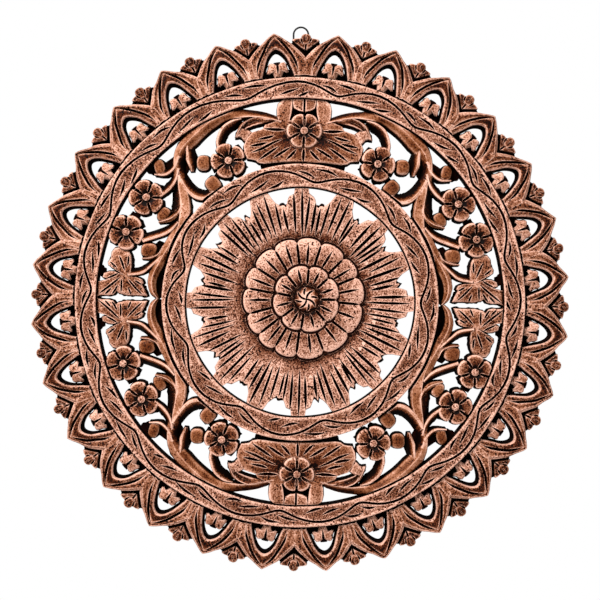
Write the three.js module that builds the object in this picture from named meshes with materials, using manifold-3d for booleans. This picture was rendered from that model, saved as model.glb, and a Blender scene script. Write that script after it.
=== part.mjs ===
// Round pierced wall hanging, carved from one board, with a bent wire loop to hang it by.
// Millimetres, +Z up. The flat back lies on the wall plane Y = 0 and the carving faces -Y.
// Every motif is drawn on the board's face (x to the right, y up, z out of the wall) and the
// whole carving is stood up against the wall at the end.
import * as THREE from 'three';
import { mergeVertices } from 'three/addons/utils/BufferGeometryUtils.js';
import Module from 'manifold-3d';

const wasm = await Module();
wasm.setup();

// Driving dimensions
const DIAMETER = 600;
const RADIUS = DIAMETER / 2; // to the tips of the border petals and of the fleurs
const BOARD = 22;
const ROLL = 0.9; // degrees that the carving sits clockwise of its hanger

// Heights of the carved surfaces above the wall
const RING_TOP = BOARD;
const PETAL_TOP = 19;
const TREFOIL_TOP = 15;
const FLEUR_TOP = 15;
const RAY_TOP = 18;
const RAY_FLOOR = 14;
const VINE_TOP = 19;
const FAN_TOP = 17;
const FLOWER_TOP = 20.5;

// Rings, as radii
const OUTER_RING = { inner: 228, outer: 250.5, sides: 36 };
const INNER_RING = { inner: 130, outer: 154.5, sides: 32 };

// The winding line on each ring: a V cut through crests that the carver spaced by eye
const WAVE_CUT = { halfWidth: 1.2, depth: 2 };
const OUTER_WAVE = {
  middle: 238.5,
  swing: 6.5,
  steps: 4,
  crests: [-2, 20, 43.5, 65.5, 88, 109, 130, 151.5, 173, 195.5, 219.5, 241.5, 262, 282, 304.5, 329.5],
};
const INNER_WAVE = {
  middle: 141.5,
  swing: 7,
  steps: 4,
  crests: [-14, 27, 68, 108, 148, 187, 228, 268, 308],
};

// Border: two halves of fourteen petals, with a slightly wider gap at the top and the bottom
const PETALS_IN_HALF = 14;
const WIDE_GAP = 13.8;
const PETAL_PITCH = (180 - WIDE_GAP) / (PETALS_IN_HALF - 1);

// Half outlines on the border, as [distance from the motif's axis, radius]
const PETAL_EDGE = [[0, RADIUS], [17.8, 289.2], [33.3, 270.6], [30, 247.8]];
const ARCH_EDGE = [[17.8, 247.8], [8.7, 277.2], [0, 282.2]];
const TREFOIL = [[0, 265.6], [8.3, 269.6], [12.9, 257.2], [4.8, 247.8]];
const FLEUR = [[0, RADIUS], [6.1, 294.9], [15, 289.6], [0, 270]];

// Sunburst: rays around the rosette, blunt shouldered ones and wide round ones by turns,
// with a small ray in every gap. Half outlines as [degrees from the ray's axis, radius].
const RAYS = 16;
const RAY_PITCH = 360 / RAYS;
const SHOULDERED_RAY = [[3.1, 131.7], [6.8, 118.3], [8.6, 109.4]];
const WIDE_RAY = [[3.2, 131.7], [5.8, 123.3], [8.6, 109.4]];
const SMALL_RAY = [[11.25, 114.4]];
const RAY_VALLEY = 3;
const RAY_ROOT = 67;
const RAY_CUT = { from: 84, to: 119, halfWidth: 1.2, depth: 2.4, surfaces: [15.4, 17.4] };

// Rosette: two rows of petals and a button, each a little off the middle as it was cut by hand
// A profile's steps are [share of the outline, height, depth of the valleys between petals].
const OUTER_ROSETTE = {
  middle: [1.7, 5.6],
  radius: 68,
  notch: 64,
  cuts: [17, 44, 67, 95, 127, 158, 186, 209, 230, 253, 279, 302, 328, 352],
  profile: [[1, 12, 0], [1, 20.8, 3], [0.6, 17.4, 1]],
};
const INNER_ROSETTE = {
  middle: [4.4, 4.4],
  radius: 38,
  notch: 34.5,
  cuts: [4, 46, 91, 138, 188, 232, 280, 320],
  profile: [[1, 15, 0], [1, 21.6, 3], [0.42, 17.6, 1]],
};
const PETAL_POINTS = 3; // points on a rosette petal's edge, the first in the notch before it
const BUTTON = { middle: [6.1, 4.4], sides: 12, profile: [[0, 15], [14.5, 15], [12.5, 20.4], [0, 21.9]] };

// Flowers of the vine: five cupped petals around a button; the one on each fan has six
const FLOWER = { radius: 19.4, notch: 14.6, button: 4.6, buttonSides: 6 };
const FAN_FLOWER = { middle: [0.6, 192.2], petals: 6, turn: 30 };
const FLOWERS = [
  { middle: [84.4, 155.9], petals: 5, turn: 22 },
  { middle: [174.4, 113.3], petals: 5, turn: 18 },
  { middle: [195.6, 74.4], petals: 5, turn: 36 },
];

// Fan leaf and its tabs at the top and the bottom, half outlines
const FAN = [
  [0, 157.2], [43.9, 155], [52.8, 158.9], [61.7, 159.6],
  [66.7, 173.9], [57.2, 189.4], [42.8, 198.9], [0, 205.6],
];
const FAN_INNER_TAB = [[0.9, 230], [12.8, 229.4], [11.1, 215.6], [0.9, 211.1]];
const FAN_OUTER_TAB = [[13.7, 228.3], [29.4, 220], [28.9, 201.1], [13.7, 203.3]];

// Strands of one quarter of the vine: points on the middle line, half widths from end to end,
// and the number of straight steps that stand for the curve
const MAIN_STEM = {
  route: [
    [26.7, 201.7], [44.4, 207.3], [64.4, 209.4], [88.9, 207.2], [108.9, 195.6],
    [125.6, 180], [135.6, 165.6], [138.3, 148.9], [135, 130], [130, 110],
    [131.1, 92.2], [140, 73.3], [152.2, 53.3], [161.1, 31.1], [161.7, 6.7],
  ],
  widths: [2.2, 3.6, 4.4, 7.8, 8.3, 8.9, 6.7, 5.1, 5.3, 5.6, 7.1, 7.3, 5.6, 4.9, 1.8],
  steps: 12,
};
const HOOKED_SHOOT = {
  route: [[125.6, 177.8], [125, 165.6], [123.9, 153.3], [120, 144.4]],
  widths: [4.4, 4.9, 5.6, 1.8],
  steps: 3,
};
const CRESCENT = {
  route: [[71.1, 204.4], [83.3, 198.9], [91.7, 188.9], [93.3, 180], [90.6, 171.1]],
  widths: [2.7, 3.8, 4.2, 4, 3.3],
  steps: 3,
};
const CURL = {
  route: [[34.4, 198.9], [53.3, 201.7], [66.7, 198.9], [73.3, 191.7], [73.9, 182.8]],
  widths: [1.6, 2.7, 3.1, 3.3, 2.2],
  steps: 3,
};
const UNDER_SCROLL = {
  route: [[134.4, 135.6], [127.2, 123.9], [116.7, 118.9], [107.2, 119.4], [98.9, 126.7]],
  widths: [5, 5.8, 5.6, 4.9, 4],
  steps: 3,
};
const UPPER_CRESCENT = {
  route: [[140.6, 160], [145.6, 148.3], [154.4, 140.6], [166.1, 140]],
  widths: [2.9, 3.6, 3.3, 1.6],
  steps: 3,
};
const UPPER_BLADE = {
  route: [[137.8, 142.2], [145.6, 132.2], [158.9, 115.6]],
  widths: [2.9, 4, 2.9],
  steps: 2,
};
const LOWER_CRESCENT = {
  route: [[136.1, 115.6], [136.1, 101.1], [143.3, 90], [157.8, 86.2]],
  widths: [1.8, 2.9, 3.6, 1.8],
  steps: 3,
};
const LOWER_BLADE = {
  route: [[138.9, 86.7], [155.6, 73.3], [177.8, 66.7]],
  widths: [3.1, 3.8, 4.4],
  steps: 2,
};
const LEAF_STALK = {
  route: [[157.8, 47.8], [174.4, 36.7], [195.6, 28.9]],
  widths: [2.9, 3, 3.3],
  steps: 2,
};
const STRANDS = [
  MAIN_STEM, HOOKED_SHOOT, CRESCENT, CURL, UNDER_SCROLL,
  UPPER_CRESCENT, UPPER_BLADE, LOWER_CRESCENT, LOWER_BLADE, LEAF_STALK,
];

// Buds of one quarter: middle, radius across and along, and turn in degrees
const BUD_SIDES = 5;
const BUDS = [
  { middle: [111.1, 153.8], across: 8.9, along: 8, turn: 0 },
  { middle: [65.9, 186.2], across: 7.1, along: 7.1, turn: 0 },
  { middle: [100, 131.1], across: 7.8, along: 9.6, turn: 40 },
  { middle: [160.7, 146.7], across: 5.3, along: 8.9, turn: 15 },
  { middle: [152.7, 95.6], across: 6.2, along: 8.4, turn: -30 },
  { middle: [169.6, 58.9], across: 7.8, along: 8.9, turn: 75 },
];

// Side leaf of one quarter, its outline all round
const SIDE_LEAF = [
  [189.4, 30], [187.8, 45.6], [201.1, 58.9], [208.9, 55.6], [211.1, 41.1], [217.2, 40],
  [205, 30.6], [218.9, 28.9], [227.8, 17.2], [229.4, 6.1], [215.6, 3.9], [206.1, 7.8],
  [197.8, 3.9], [171.7, 2.4], [168.9, 5], [176.7, 21.1],
];

// Hanging loop: bent black wire, its legs let into grooves in the back and turned into the wood
const WIRE = 1.6;
const LOOP_TOP = 310;
const LOOP_MIDDLE_X = 1.1;
const LOOP_HALF_WIDTH = 8.7;
const LEG_END = 262;
const LEG_PIN = 7;
const WIRE_SIDES = 6;
const WIRE_STEPS = 26;
const ARC_STEPS = 8;
const BEND = 1; // size of the turn from a leg into the wood
const CLEARANCE = 0.5;

const COPPERED_WOOD = { color: 0x9c6149, roughness: 0.5, metalness: 0.15 };
const BLACK_STEEL = { color: 0x16130f, roughness: 0.45, metalness: 0.8 };

const LIP = 1; // how far the lips of a cutter stand above the surface it cuts
const RUN_OUT = 0.05; // and how far its pointed ends do
const WELD = 1e-4; // distance within which two points are one
const QUARTERS = [[1, 1], [-1, 1], [-1, -1], [1, -1]];
const HALVES = [1, -1];

// A point at a clock angle in degrees, from straight up and clockwise
function clockPoint(degrees, radius) {
  const angle = THREE.MathUtils.degToRad(degrees);
  return new THREE.Vector2(Math.sin(angle) * radius, Math.cos(angle) * radius);
}

function vectors(pairs, [flipX, flipY] = [1, 1]) {
  return pairs.map(([x, y]) => new THREE.Vector2(x * flipX, y * flipY));
}

// A half outline, completed with its mirror image across the y axis
function mirrored(pairs) {
  const offAxis = pairs.filter(([x]) => x !== 0);
  return [...pairs, ...offAxis.map(([x, y]) => [-x, y]).reverse()];
}

// Value at a share of a list's length, on the straight line between its entries
function along(list, share) {
  const place = share * (list.length - 1);
  const low = Math.min(Math.floor(place), list.length - 2);
  return THREE.MathUtils.lerp(list[low], list[low + 1], place - low);
}

// Skin over rings of equally many points, closed by a fan around a point at each end.
// Without ends, the last ring joins the first.
function loft(rings, ends) {
  const count = rings[0].length;
  const points = rings.flat();
  const index = [];
  const joins = ends ? rings.length - 1 : rings.length;
  for (let ring = 0; ring < joins; ring += 1) {
    const here = ring * count;
    const there = ((ring + 1) % rings.length) * count;
    for (let side = 0; side < count; side += 1) {
      const next = (side + 1) % count;
      index.push(here + side, here + next, there + side);
      index.push(here + next, there + next, there + side);
    }
  }
  if (ends) {
    const last = (rings.length - 1) * count;
    const firstMiddle = points.push(ends[0]) - 1;
    const lastMiddle = points.push(ends[1]) - 1;
    for (let side = 0; side < count; side += 1) {
      const next = (side + 1) % count;
      index.push(firstMiddle, next, side);
      index.push(lastMiddle, last + side, last + next);
    }
  }
  const geometry = new THREE.BufferGeometry().setFromPoints(points);
  geometry.setIndex(index);
  return geometry;
}

// Flat piece with upright sides, from the back of the board to its top
function slab(outline, top) {
  return new THREE.ExtrudeGeometry(new THREE.Shape(outline), { depth: top, bevelEnabled: false });
}

// Row of rosette petals: its outline is shrunk towards the middle through steps of
// [share, height, depth of the valleys between the petals]
function mound(outline, middle, profile) {
  const rings = profile.map(([share, height, valley]) => outline.map((point, number) => {
    const spot = middle.clone().lerp(point, share);
    const drop = number % PETAL_POINTS === 0 ? valley : 0;
    return new THREE.Vector3(spot.x, spot.y, height - drop);
  }));
  const first = new THREE.Vector3(middle.x, middle.y, profile[0][1]);
  const last = new THREE.Vector3(middle.x, middle.y, profile[profile.length - 1][1]);
  return loft(rings, [first, last]);
}

// Long piece along a route, with a half width for every part of it
function strand(route, widths, steps, top) {
  const curve = new THREE.SplineCurve(route);
  const left = [];
  const right = [];
  for (let step = 0; step <= steps; step += 1) {
    const share = step / steps;
    const tangent = curve.getTangent(share);
    const across = new THREE.Vector2(-tangent.y, tangent.x).multiplyScalar(along(widths, share));
    left.push(curve.getPoint(share).add(across));
    right.push(curve.getPoint(share).sub(across));
  }
  return slab([...left, ...right.reverse()], top);
}

// One station of a V cut: its bottom in the wood and its two lips above the surface
function cutStation(spot, across, halfWidth, depth, surface) {
  const reach = halfWidth * (1 + LIP / depth);
  return [
    new THREE.Vector3(spot.x - across.x * reach, spot.y - across.y * reach, surface + LIP),
    new THREE.Vector3(spot.x + across.x * reach, spot.y + across.y * reach, surface + LIP),
    new THREE.Vector3(spot.x, spot.y, surface - depth),
  ];
}

// Straight V cut between two points, running out to a point at both ends
function vCut([start, end], { halfWidth, depth, surfaces }) {
  const direction = end.clone().sub(start).normalize();
  const across = new THREE.Vector2(-direction.y, direction.x);
  const [low, high] = surfaces;
  const station = cutStation(start.clone().lerp(end, 0.5), across, halfWidth, depth, (low + high) / 2);
  const ends = [
    new THREE.Vector3(start.x, start.y, low + RUN_OUT),
    new THREE.Vector3(end.x, end.y, high + RUN_OUT),
  ];
  return loft([station], ends);
}

// Endless V cut that swings in and out around a ring
function windingCut({ middle, swing, steps, crests }, { halfWidth, depth }) {
  const spots = [];
  crests.forEach((crest, number) => {
    const next = number + 1 < crests.length ? crests[number + 1] : crests[0] + 360;
    for (let step = 0; step < steps; step += 1) {
      const share = step / steps;
      const radius = middle + swing * Math.cos(2 * Math.PI * share);
      spots.push(clockPoint(THREE.MathUtils.lerp(crest, next, share), radius));
    }
  });
  const rings = spots.map((spot, number) => {
    const before = spots[(number + spots.length - 1) % spots.length];
    const after = spots[(number + 1) % spots.length];
    const tangent = after.clone().sub(before).normalize();
    return cutStation(spot, new THREE.Vector2(-tangent.y, tangent.x), halfWidth, depth, RING_TOP);
  });
  return loft(rings, null);
}

// Volume inside the faces, negative where they point inwards
function signedVolume(position, index) {
  const [a, b, c] = [new THREE.Vector3(), new THREE.Vector3(), new THREE.Vector3()];
  let volume = 0;
  for (let corner = 0; corner < index.length; corner += 3) {
    a.fromArray(position, index[corner] * 3);
    b.fromArray(position, index[corner + 1] * 3);
    c.fromArray(position, index[corner + 2] * 3);
    volume += a.dot(b.cross(c)) / 6;
  }
  return volume;
}

// Closed geometry as a solid, with its faces turned outwards
function solidOf(geometry) {
  const bare = geometry.clone();
  bare.deleteAttribute('normal');
  bare.deleteAttribute('uv');
  const merged = mergeVertices(bare, WELD);
  const position = Float32Array.from(merged.getAttribute('position').array);
  const index = Uint32Array.from(merged.index.array);
  if (signedVolume(position, index) < 0) {
    for (let corner = 0; corner < index.length; corner += 3) {
      [index[corner], index[corner + 1]] = [index[corner + 1], index[corner]];
    }
  }
  return new wasm.Manifold(new wasm.Mesh({ numProp: 3, vertProperties: position, triVerts: index }));
}

// Joins many geometries into one solid, in pairs
function joined(geometries) {
  let solids = geometries.map(solidOf);
  while (solids.length > 1) {
    const pairs = [];
    for (let place = 0; place < solids.length; place += 2) {
      pairs.push(place + 1 < solids.length ? solids[place].add(solids[place + 1]) : solids[place]);
    }
    solids = pairs;
  }
  return solids[0];
}

function geometryOf(solid) {
  const mesh = solid.getMesh();
  const geometry = new THREE.BufferGeometry();
  geometry.setAttribute('position', new THREE.BufferAttribute(Float32Array.from(mesh.vertProperties), 3));
  geometry.setIndex(new THREE.BufferAttribute(Uint32Array.from(mesh.triVerts), 1));
  return geometry;
}

function turned(geometry, degrees) {
  return geometry.rotateZ(-THREE.MathUtils.degToRad(degrees));
}

function ringBand({ inner, outer, sides }) {
  const profile = [[inner, 0], [outer, 0], [outer, RING_TOP], [inner, RING_TOP], [inner, 0]];
  return new THREE.LatheGeometry(vectors(profile), sides).rotateX(Math.PI / 2);
}

function petalAngles() {
  const angles = [];
  for (const half of [0, 180]) {
    for (let petal = 0; petal < PETALS_IN_HALF; petal += 1) {
      angles.push(half + WIDE_GAP / 2 + petal * PETAL_PITCH);
    }
  }
  return angles;
}

// Middle of the gap before each petal, where a fleur stands
function fleurAngles() {
  return petalAngles().map((angle, number) => {
    const gap = number % PETALS_IN_HALF === 0 ? WIDE_GAP : PETAL_PITCH;
    return angle - gap / 2;
  });
}

function borderPieces() {
  const arch = [...PETAL_EDGE, ...ARCH_EDGE];
  const pieces = [];
  for (const angle of petalAngles()) {
    pieces.push(turned(slab(vectors(mirrored(arch)), PETAL_TOP), angle));
    pieces.push(turned(slab(vectors(mirrored(TREFOIL)), TREFOIL_TOP), angle));
  }
  for (const angle of fleurAngles()) {
    pieces.push(turned(slab(vectors(mirrored(FLEUR)), FLEUR_TOP), angle));
  }
  return pieces;
}

function sunburst() {
  const spots = [];
  for (let ray = 0; ray < RAYS; ray += 1) {
    const half = ray % 2 === 0 ? SHOULDERED_RAY : WIDE_RAY;
    const [notchDegrees] = half[half.length - 1];
    const full = mirrored(half).map(([degrees, radius]) => [-degrees, radius]);
    const ordered = [...full, ...SMALL_RAY].sort((a, b) => a[0] - b[0]);
    spots.push(...ordered.map(([degrees, radius]) => ({
      angle: ray * RAY_PITCH + degrees,
      radius,
      top: Math.abs(degrees) === notchDegrees ? RAY_TOP - RAY_VALLEY : RAY_TOP,
    })));
  }
  const ringAt = (radiusOf, heightOf) => spots.map((spot) => {
    const point = clockPoint(spot.angle, radiusOf(spot));
    return new THREE.Vector3(point.x, point.y, heightOf(spot));
  });
  const base = ringAt((spot) => spot.radius, () => 0);
  const top = ringAt((spot) => spot.radius, (spot) => spot.top);
  const root = ringAt(() => RAY_ROOT, () => RAY_FLOOR);
  return loft([base, top, root], [new THREE.Vector3(0, 0, 0), new THREE.Vector3(0, 0, RAY_FLOOR)]);
}

function sunburstCuts() {
  const cuts = [];
  for (let ray = 1; ray < RAYS; ray += 2) {
    const route = [RAY_CUT.from, RAY_CUT.to].map((radius) => clockPoint(ray * RAY_PITCH, radius));
    cuts.push(vCut(route, RAY_CUT));
  }
  return cuts;
}

// Outline of a row of rounded petals between its cuts
function scalloped({ middle, radius, notch, cuts }) {
  const outline = [];
  cuts.forEach((cut, number) => {
    const next = number + 1 < cuts.length ? cuts[number + 1] : cuts[0] + 360;
    for (let step = 0; step < PETAL_POINTS; step += 1) {
      const share = step / PETAL_POINTS;
      const reach = THREE.MathUtils.lerp(notch, radius, Math.sin(Math.PI * share) ** 0.6);
      const angle = THREE.MathUtils.lerp(cut, next, share);
      outline.push(clockPoint(angle, reach).add(new THREE.Vector2(...middle)));
    }
  });
  return outline;
}

function rosettePieces() {
  const rows = [OUTER_ROSETTE, INNER_ROSETTE].map((row) => (
    mound(scalloped(row), new THREE.Vector2(...row.middle), row.profile)
  ));
  const button = new THREE.LatheGeometry(vectors(BUTTON.profile), BUTTON.sides).rotateX(Math.PI / 2);
  button.translate(...BUTTON.middle, 0);
  return [...rows, button];
}

function flower({ middle, petals, turn }, quarter) {
  const outline = [];
  const pitch = 360 / petals;
  for (let petal = 0; petal < petals; petal += 1) {
    for (const [share, reach] of [[0, FLOWER.notch], [1 / 4, FLOWER.radius], [3 / 4, FLOWER.radius]]) {
      outline.push(clockPoint(turn + (petal - 0.5 + share) * pitch, reach).toArray());
    }
  }
  const centre = new THREE.Vector2(...middle);
  const placed = vectors(outline).map((point) => point.add(centre).multiply(new THREE.Vector2(...quarter)));
  const centreThere = centre.clone().multiply(new THREE.Vector2(...quarter));
  const sides = FLOWER.buttonSides;
  const button = new THREE.CylinderGeometry(0.8 * FLOWER.button, FLOWER.button, BOARD, sides);
  button.rotateX(Math.PI / 2).translate(centreThere.x, centreThere.y, BOARD / 2);
  return [slab(placed, FLOWER_TOP), button];
}

function budOutline({ middle, across, along: length, turn }) {
  const ellipse = new THREE.EllipseCurve(0, 0, across, length, 0, 2 * Math.PI);
  const centre = new THREE.Vector2(...middle);
  const origin = new THREE.Vector2();
  return ellipse.getPoints(BUD_SIDES).slice(0, BUD_SIDES).map((point) => (
    point.rotateAround(origin, -THREE.MathUtils.degToRad(turn)).add(centre)
  ));
}

function bud(shape, quarter) {
  const flip = new THREE.Vector2(...quarter);
  return slab(budOutline(shape).map((point) => point.multiply(flip)), VINE_TOP);
}

function vineQuarter(quarter) {
  const pieces = [];
  for (const { route, widths, steps } of STRANDS) {
    pieces.push(strand(vectors(route, quarter), widths, steps, VINE_TOP));
  }
  for (const shape of BUDS) {
    pieces.push(bud(shape, quarter));
  }
  for (const shape of FLOWERS) {
    pieces.push(...flower(shape, quarter));
  }
  pieces.push(slab(vectors(SIDE_LEAF, quarter), VINE_TOP));
  return pieces;
}

function fanPieces(flip) {
  const pieces = [slab(vectors(mirrored(FAN), [1, flip]), FAN_TOP)];
  for (const side of HALVES) {
    pieces.push(slab(vectors(FAN_INNER_TAB, [side, flip]), FAN_TOP));
    pieces.push(slab(vectors(FAN_OUTER_TAB, [side, flip]), FAN_TOP));
  }
  pieces.push(...flower(FAN_FLOWER, [1, flip]));
  return pieces;
}

// The wire's middle line, from one buried end over the loop to the other
function wireRoute() {
  const depth = -WIRE / 2 - CLEARANCE;
  const radius = LOOP_HALF_WIDTH - WIRE / 2;
  const crown = LOOP_TOP - WIRE / 2 - radius;
  const left = LOOP_MIDDLE_X - radius;
  const right = LOOP_MIDDLE_X + radius;
  const points = [
    new THREE.Vector3(left, -LEG_PIN, LEG_END),
    new THREE.Vector3(left, depth - BEND, LEG_END),
    new THREE.Vector3(left, depth, LEG_END + BEND),
    new THREE.Vector3(left, depth, (LEG_END + crown) / 2),
  ];
  for (let step = 0; step <= ARC_STEPS; step += 1) {
    const angle = Math.PI * (1 - step / ARC_STEPS);
    points.push(new THREE.Vector3(
      LOOP_MIDDLE_X + Math.cos(angle) * radius,
      depth,
      crown + Math.sin(angle) * radius,
    ));
  }
  points.push(new THREE.Vector3(right, depth, (LEG_END + crown) / 2));
  points.push(new THREE.Vector3(right, depth, LEG_END + BEND));
  points.push(new THREE.Vector3(right, depth - BEND, LEG_END));
  points.push(new THREE.Vector3(right, -LEG_PIN, LEG_END));
  return points;
}

function wire() {
  const corner = new THREE.EllipseCurve(0, 0, WIRE / 2, WIRE / 2, 0, 2 * Math.PI);
  return new THREE.ExtrudeGeometry(new THREE.Shape(corner.getPoints(WIRE_SIDES)), {
    steps: WIRE_STEPS,
    bevelEnabled: false,
    extrudePath: new THREE.CatmullRomCurve3(wireRoute(), false, 'centripetal'),
  });
}

// Slot in the back for one leg of the wire, and the hole that its end is turned into
function legSlots() {
  const width = WIRE + 2 * CLEARANCE;
  return HALVES.flatMap((side) => {
    const x = LOOP_MIDDLE_X + side * (LOOP_HALF_WIDTH - WIRE / 2);
    const slot = new THREE.BoxGeometry(width, 2 * (WIRE + 2 * CLEARANCE), LOOP_TOP - LEG_END);
    slot.translate(x, 0, (LOOP_TOP + LEG_END) / 2 - width / 2);
    const hole = new THREE.BoxGeometry(width, 2 * (LEG_PIN + CLEARANCE), width);
    hole.translate(x, 0, LEG_END);
    return [slot, hole];
  });
}

function carvedPanel() {
  const rings = [ringBand(OUTER_RING), ringBand(INNER_RING)];
  const pieces = [...rings, ...borderPieces(), sunburst(), ...rosettePieces()];
  for (const quarter of QUARTERS) {
    pieces.push(...vineQuarter(quarter));
  }
  for (const flip of HALVES) {
    pieces.push(...fanPieces(flip));
  }
  const winding = [windingCut(OUTER_WAVE, WAVE_CUT), windingCut(INNER_WAVE, WAVE_CUT)];
  const cuts = [...winding, ...sunburstCuts()];
  const carving = geometryOf(joined(pieces).subtract(joined(cuts)));
  turned(carving, ROLL).rotateX(Math.PI / 2);
  return geometryOf(solidOf(carving).subtract(joined(legSlots())));
}

function piece(name, geometry, finish) {
  const mesh = new THREE.Mesh(geometry, new THREE.MeshStandardMaterial(finish));
  mesh.name = name;
  return mesh;
}

const hanging = new THREE.Group();
hanging.add(piece('carved_panel', carvedPanel(), COPPERED_WOOD));
hanging.add(piece('hanging_loop', wire(), BLACK_STEEL));

export default hanging;
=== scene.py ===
import logging
import math
import random
from dataclasses import dataclass, replace
from enum import Enum, IntEnum
from typing import Callable, Iterable, NamedTuple, Sequence

import bmesh
import bpy
from mathutils import Matrix, Vector, noise


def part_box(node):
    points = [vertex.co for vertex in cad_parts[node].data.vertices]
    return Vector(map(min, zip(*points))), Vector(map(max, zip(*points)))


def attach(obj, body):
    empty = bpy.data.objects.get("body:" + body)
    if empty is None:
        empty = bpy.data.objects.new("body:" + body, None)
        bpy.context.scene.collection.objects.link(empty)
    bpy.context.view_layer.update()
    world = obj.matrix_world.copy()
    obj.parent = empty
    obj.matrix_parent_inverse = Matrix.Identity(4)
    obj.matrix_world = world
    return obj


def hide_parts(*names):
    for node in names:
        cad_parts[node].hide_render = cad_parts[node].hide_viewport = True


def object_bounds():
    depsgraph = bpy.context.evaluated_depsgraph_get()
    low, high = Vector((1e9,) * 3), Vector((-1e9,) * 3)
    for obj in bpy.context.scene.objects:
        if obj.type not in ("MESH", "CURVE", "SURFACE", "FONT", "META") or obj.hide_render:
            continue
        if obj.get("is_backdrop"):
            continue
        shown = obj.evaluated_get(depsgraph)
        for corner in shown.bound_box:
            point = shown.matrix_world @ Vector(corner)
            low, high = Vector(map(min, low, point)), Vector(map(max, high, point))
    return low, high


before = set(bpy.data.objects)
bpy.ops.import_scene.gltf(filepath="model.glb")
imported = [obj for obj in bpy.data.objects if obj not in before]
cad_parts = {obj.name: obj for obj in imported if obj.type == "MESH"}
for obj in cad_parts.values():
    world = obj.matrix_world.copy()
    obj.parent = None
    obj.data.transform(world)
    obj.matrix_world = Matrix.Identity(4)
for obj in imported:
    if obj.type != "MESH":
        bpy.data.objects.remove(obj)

log = logging.getLogger("wall_hanging")

Point = tuple[float, float]
Height = Callable[[float, float], float]
Outline = Sequence[Point]
Rows = Sequence[Sequence[float]]
Ring = Sequence[bmesh.types.BMVert]
Triple = tuple[float, float, float]
Colour = Triple
Tones = Sequence[tuple[float, Colour]]
Socket = bpy.types.NodeSocket
Inputs = dict[str | int, object]
Piece = bpy.types.Object
Mesh = bpy.types.Mesh
Dice = random.Random

MM = 0.001
PANEL = "carved_panel"
LOOP = "hanging_loop"
CAD_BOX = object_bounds()
PANEL_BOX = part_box(PANEL)
RADIUS = (PANEL_BOX[1][0] - PANEL_BOX[0][0]) / MM / 2
BOARD = (PANEL_BOX[1][1] - PANEL_BOX[0][1]) / MM
LOOP_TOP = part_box(LOOP)[1][2] / MM
CARVED_TOP = BOARD - 0.15
ROLL = 1.3  # degrees that the carving sits clockwise of its hanger
SEED = 7
EVEN = (1.0, 1.0, 1.0)  # stretch of a pattern that runs no way in particular
TRACES = ("rub_and_highlight", "wash_and_shade", "satin")
MEND_PASSES = 6
STRAY_SIZE = 3.1  # length of the places where the saw strayed
STRAY_LEVEL = 0.12  # noise below which it didn't stray
CUT_RUB = 0.55  # least wear of the wood along a cut
RIM_PLAY = 0.05  # how far the finest points stay inside the board
SHARP_ANGLE = 34  # degrees from which an edge is drawn sharp


class Face(IntEnum):
    """Material slots of the board, in order."""

    WORKED = 0
    STAIN = 1
    WALL = 2
    BACK = 3


class Stop(NamedTuple):
    """One point of a carved surface, how its finish wore there, and the highlight and shade painted on it."""

    x: float
    y: float
    z: float
    rub_and_highlight: float = 0.5
    wash_and_shade: float = 0.0


def clock_point(degrees: float, radius: float, middle: Point = (0, 0)) -> Point:
    """Return the point at a clock angle, from straight up and clockwise.

    Args:
        degrees: The clock angle.
        radius: Distance from the middle.
        middle: Centre of the dial.

    Returns:
        The point on the board.
    """
    angle = math.radians(degrees)
    return (middle[0] + math.sin(angle) * radius, middle[1] + math.cos(angle) * radius)


def turned(point: Point, degrees: float) -> Point:
    """Return a point turned clockwise around the board's centre.

    Args:
        point: The point.
        degrees: How far it turns.

    Returns:
        The turned point.
    """
    angle = math.radians(degrees)
    x, y = point
    return (x * math.cos(angle) + y * math.sin(angle), y * math.cos(angle) - x * math.sin(angle))


def mirrored(half: Outline) -> list[Point]:
    """Complete a half outline with its mirror image across the y axis.

    Args:
        half: Points of the right half, from the top to the bottom.

    Returns:
        The whole outline.
    """
    off_axis = [point for point in half if abs(point[0]) > 1e-6]
    return [*half, *[(-x, y) for x, y in reversed(off_axis)]]


def blend(low: Sequence[float], high: Sequence[float], share: float) -> list[float]:
    """Mix two rows of numbers."""
    return [a + (b - a) * share for a, b in zip(low, high)]


def along(rows: Sequence, share: float) -> list[float]:
    """Return the row at a share of a list's length, on straight lines between its entries.

    Args:
        rows: Rows of numbers.
        share: Place along them, from 0 to 1.

    Returns:
        The mixed row.
    """
    place = share * (len(rows) - 1)
    low = min(int(place), len(rows) - 2)
    return blend(rows[low], rows[low + 1], place - low)


def flowing(route: Outline, share: float) -> Vector:
    """Return the point at a share of a smooth curve through a route's points.

    Args:
        route: Points that the curve passes through.
        share: Place along it, from 0 to 1.

    Returns:
        The point, as a two-dimensional vector.
    """
    place = share * (len(route) - 1)
    low = min(int(place), len(route) - 2)
    step = place - low
    b, c = Vector(route[low]), Vector(route[low + 1])
    a = Vector(route[low - 1]) if low > 0 else 2 * b - c
    d = Vector(route[low + 2]) if low + 2 < len(route) else 2 * c - b
    return 0.5 * (
        2 * b + (c - a) * step + (2 * a - 5 * b + 4 * c - d) * step**2 + (3 * b - a - 3 * c + d) * step**3
    )


def smooth(route: Outline, steps: int) -> list[Vector]:
    """Return equally shared points of the smooth curve through a route."""
    return [flowing(route, step / steps) for step in range(steps + 1)]


def tangents(spots: Sequence[Vector]) -> list[Vector]:
    """Return the direction of travel at every point of an open line."""
    last = len(spots) - 1
    return [(spots[min(i + 1, last)] - spots[max(i - 1, 0)]).normalized() for i in range(last + 1)]


def paint(faces: Iterable[bmesh.types.BMFace], face: Face) -> None:
    """Give faces their material."""
    for made in faces:
        made.material_index = face


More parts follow.
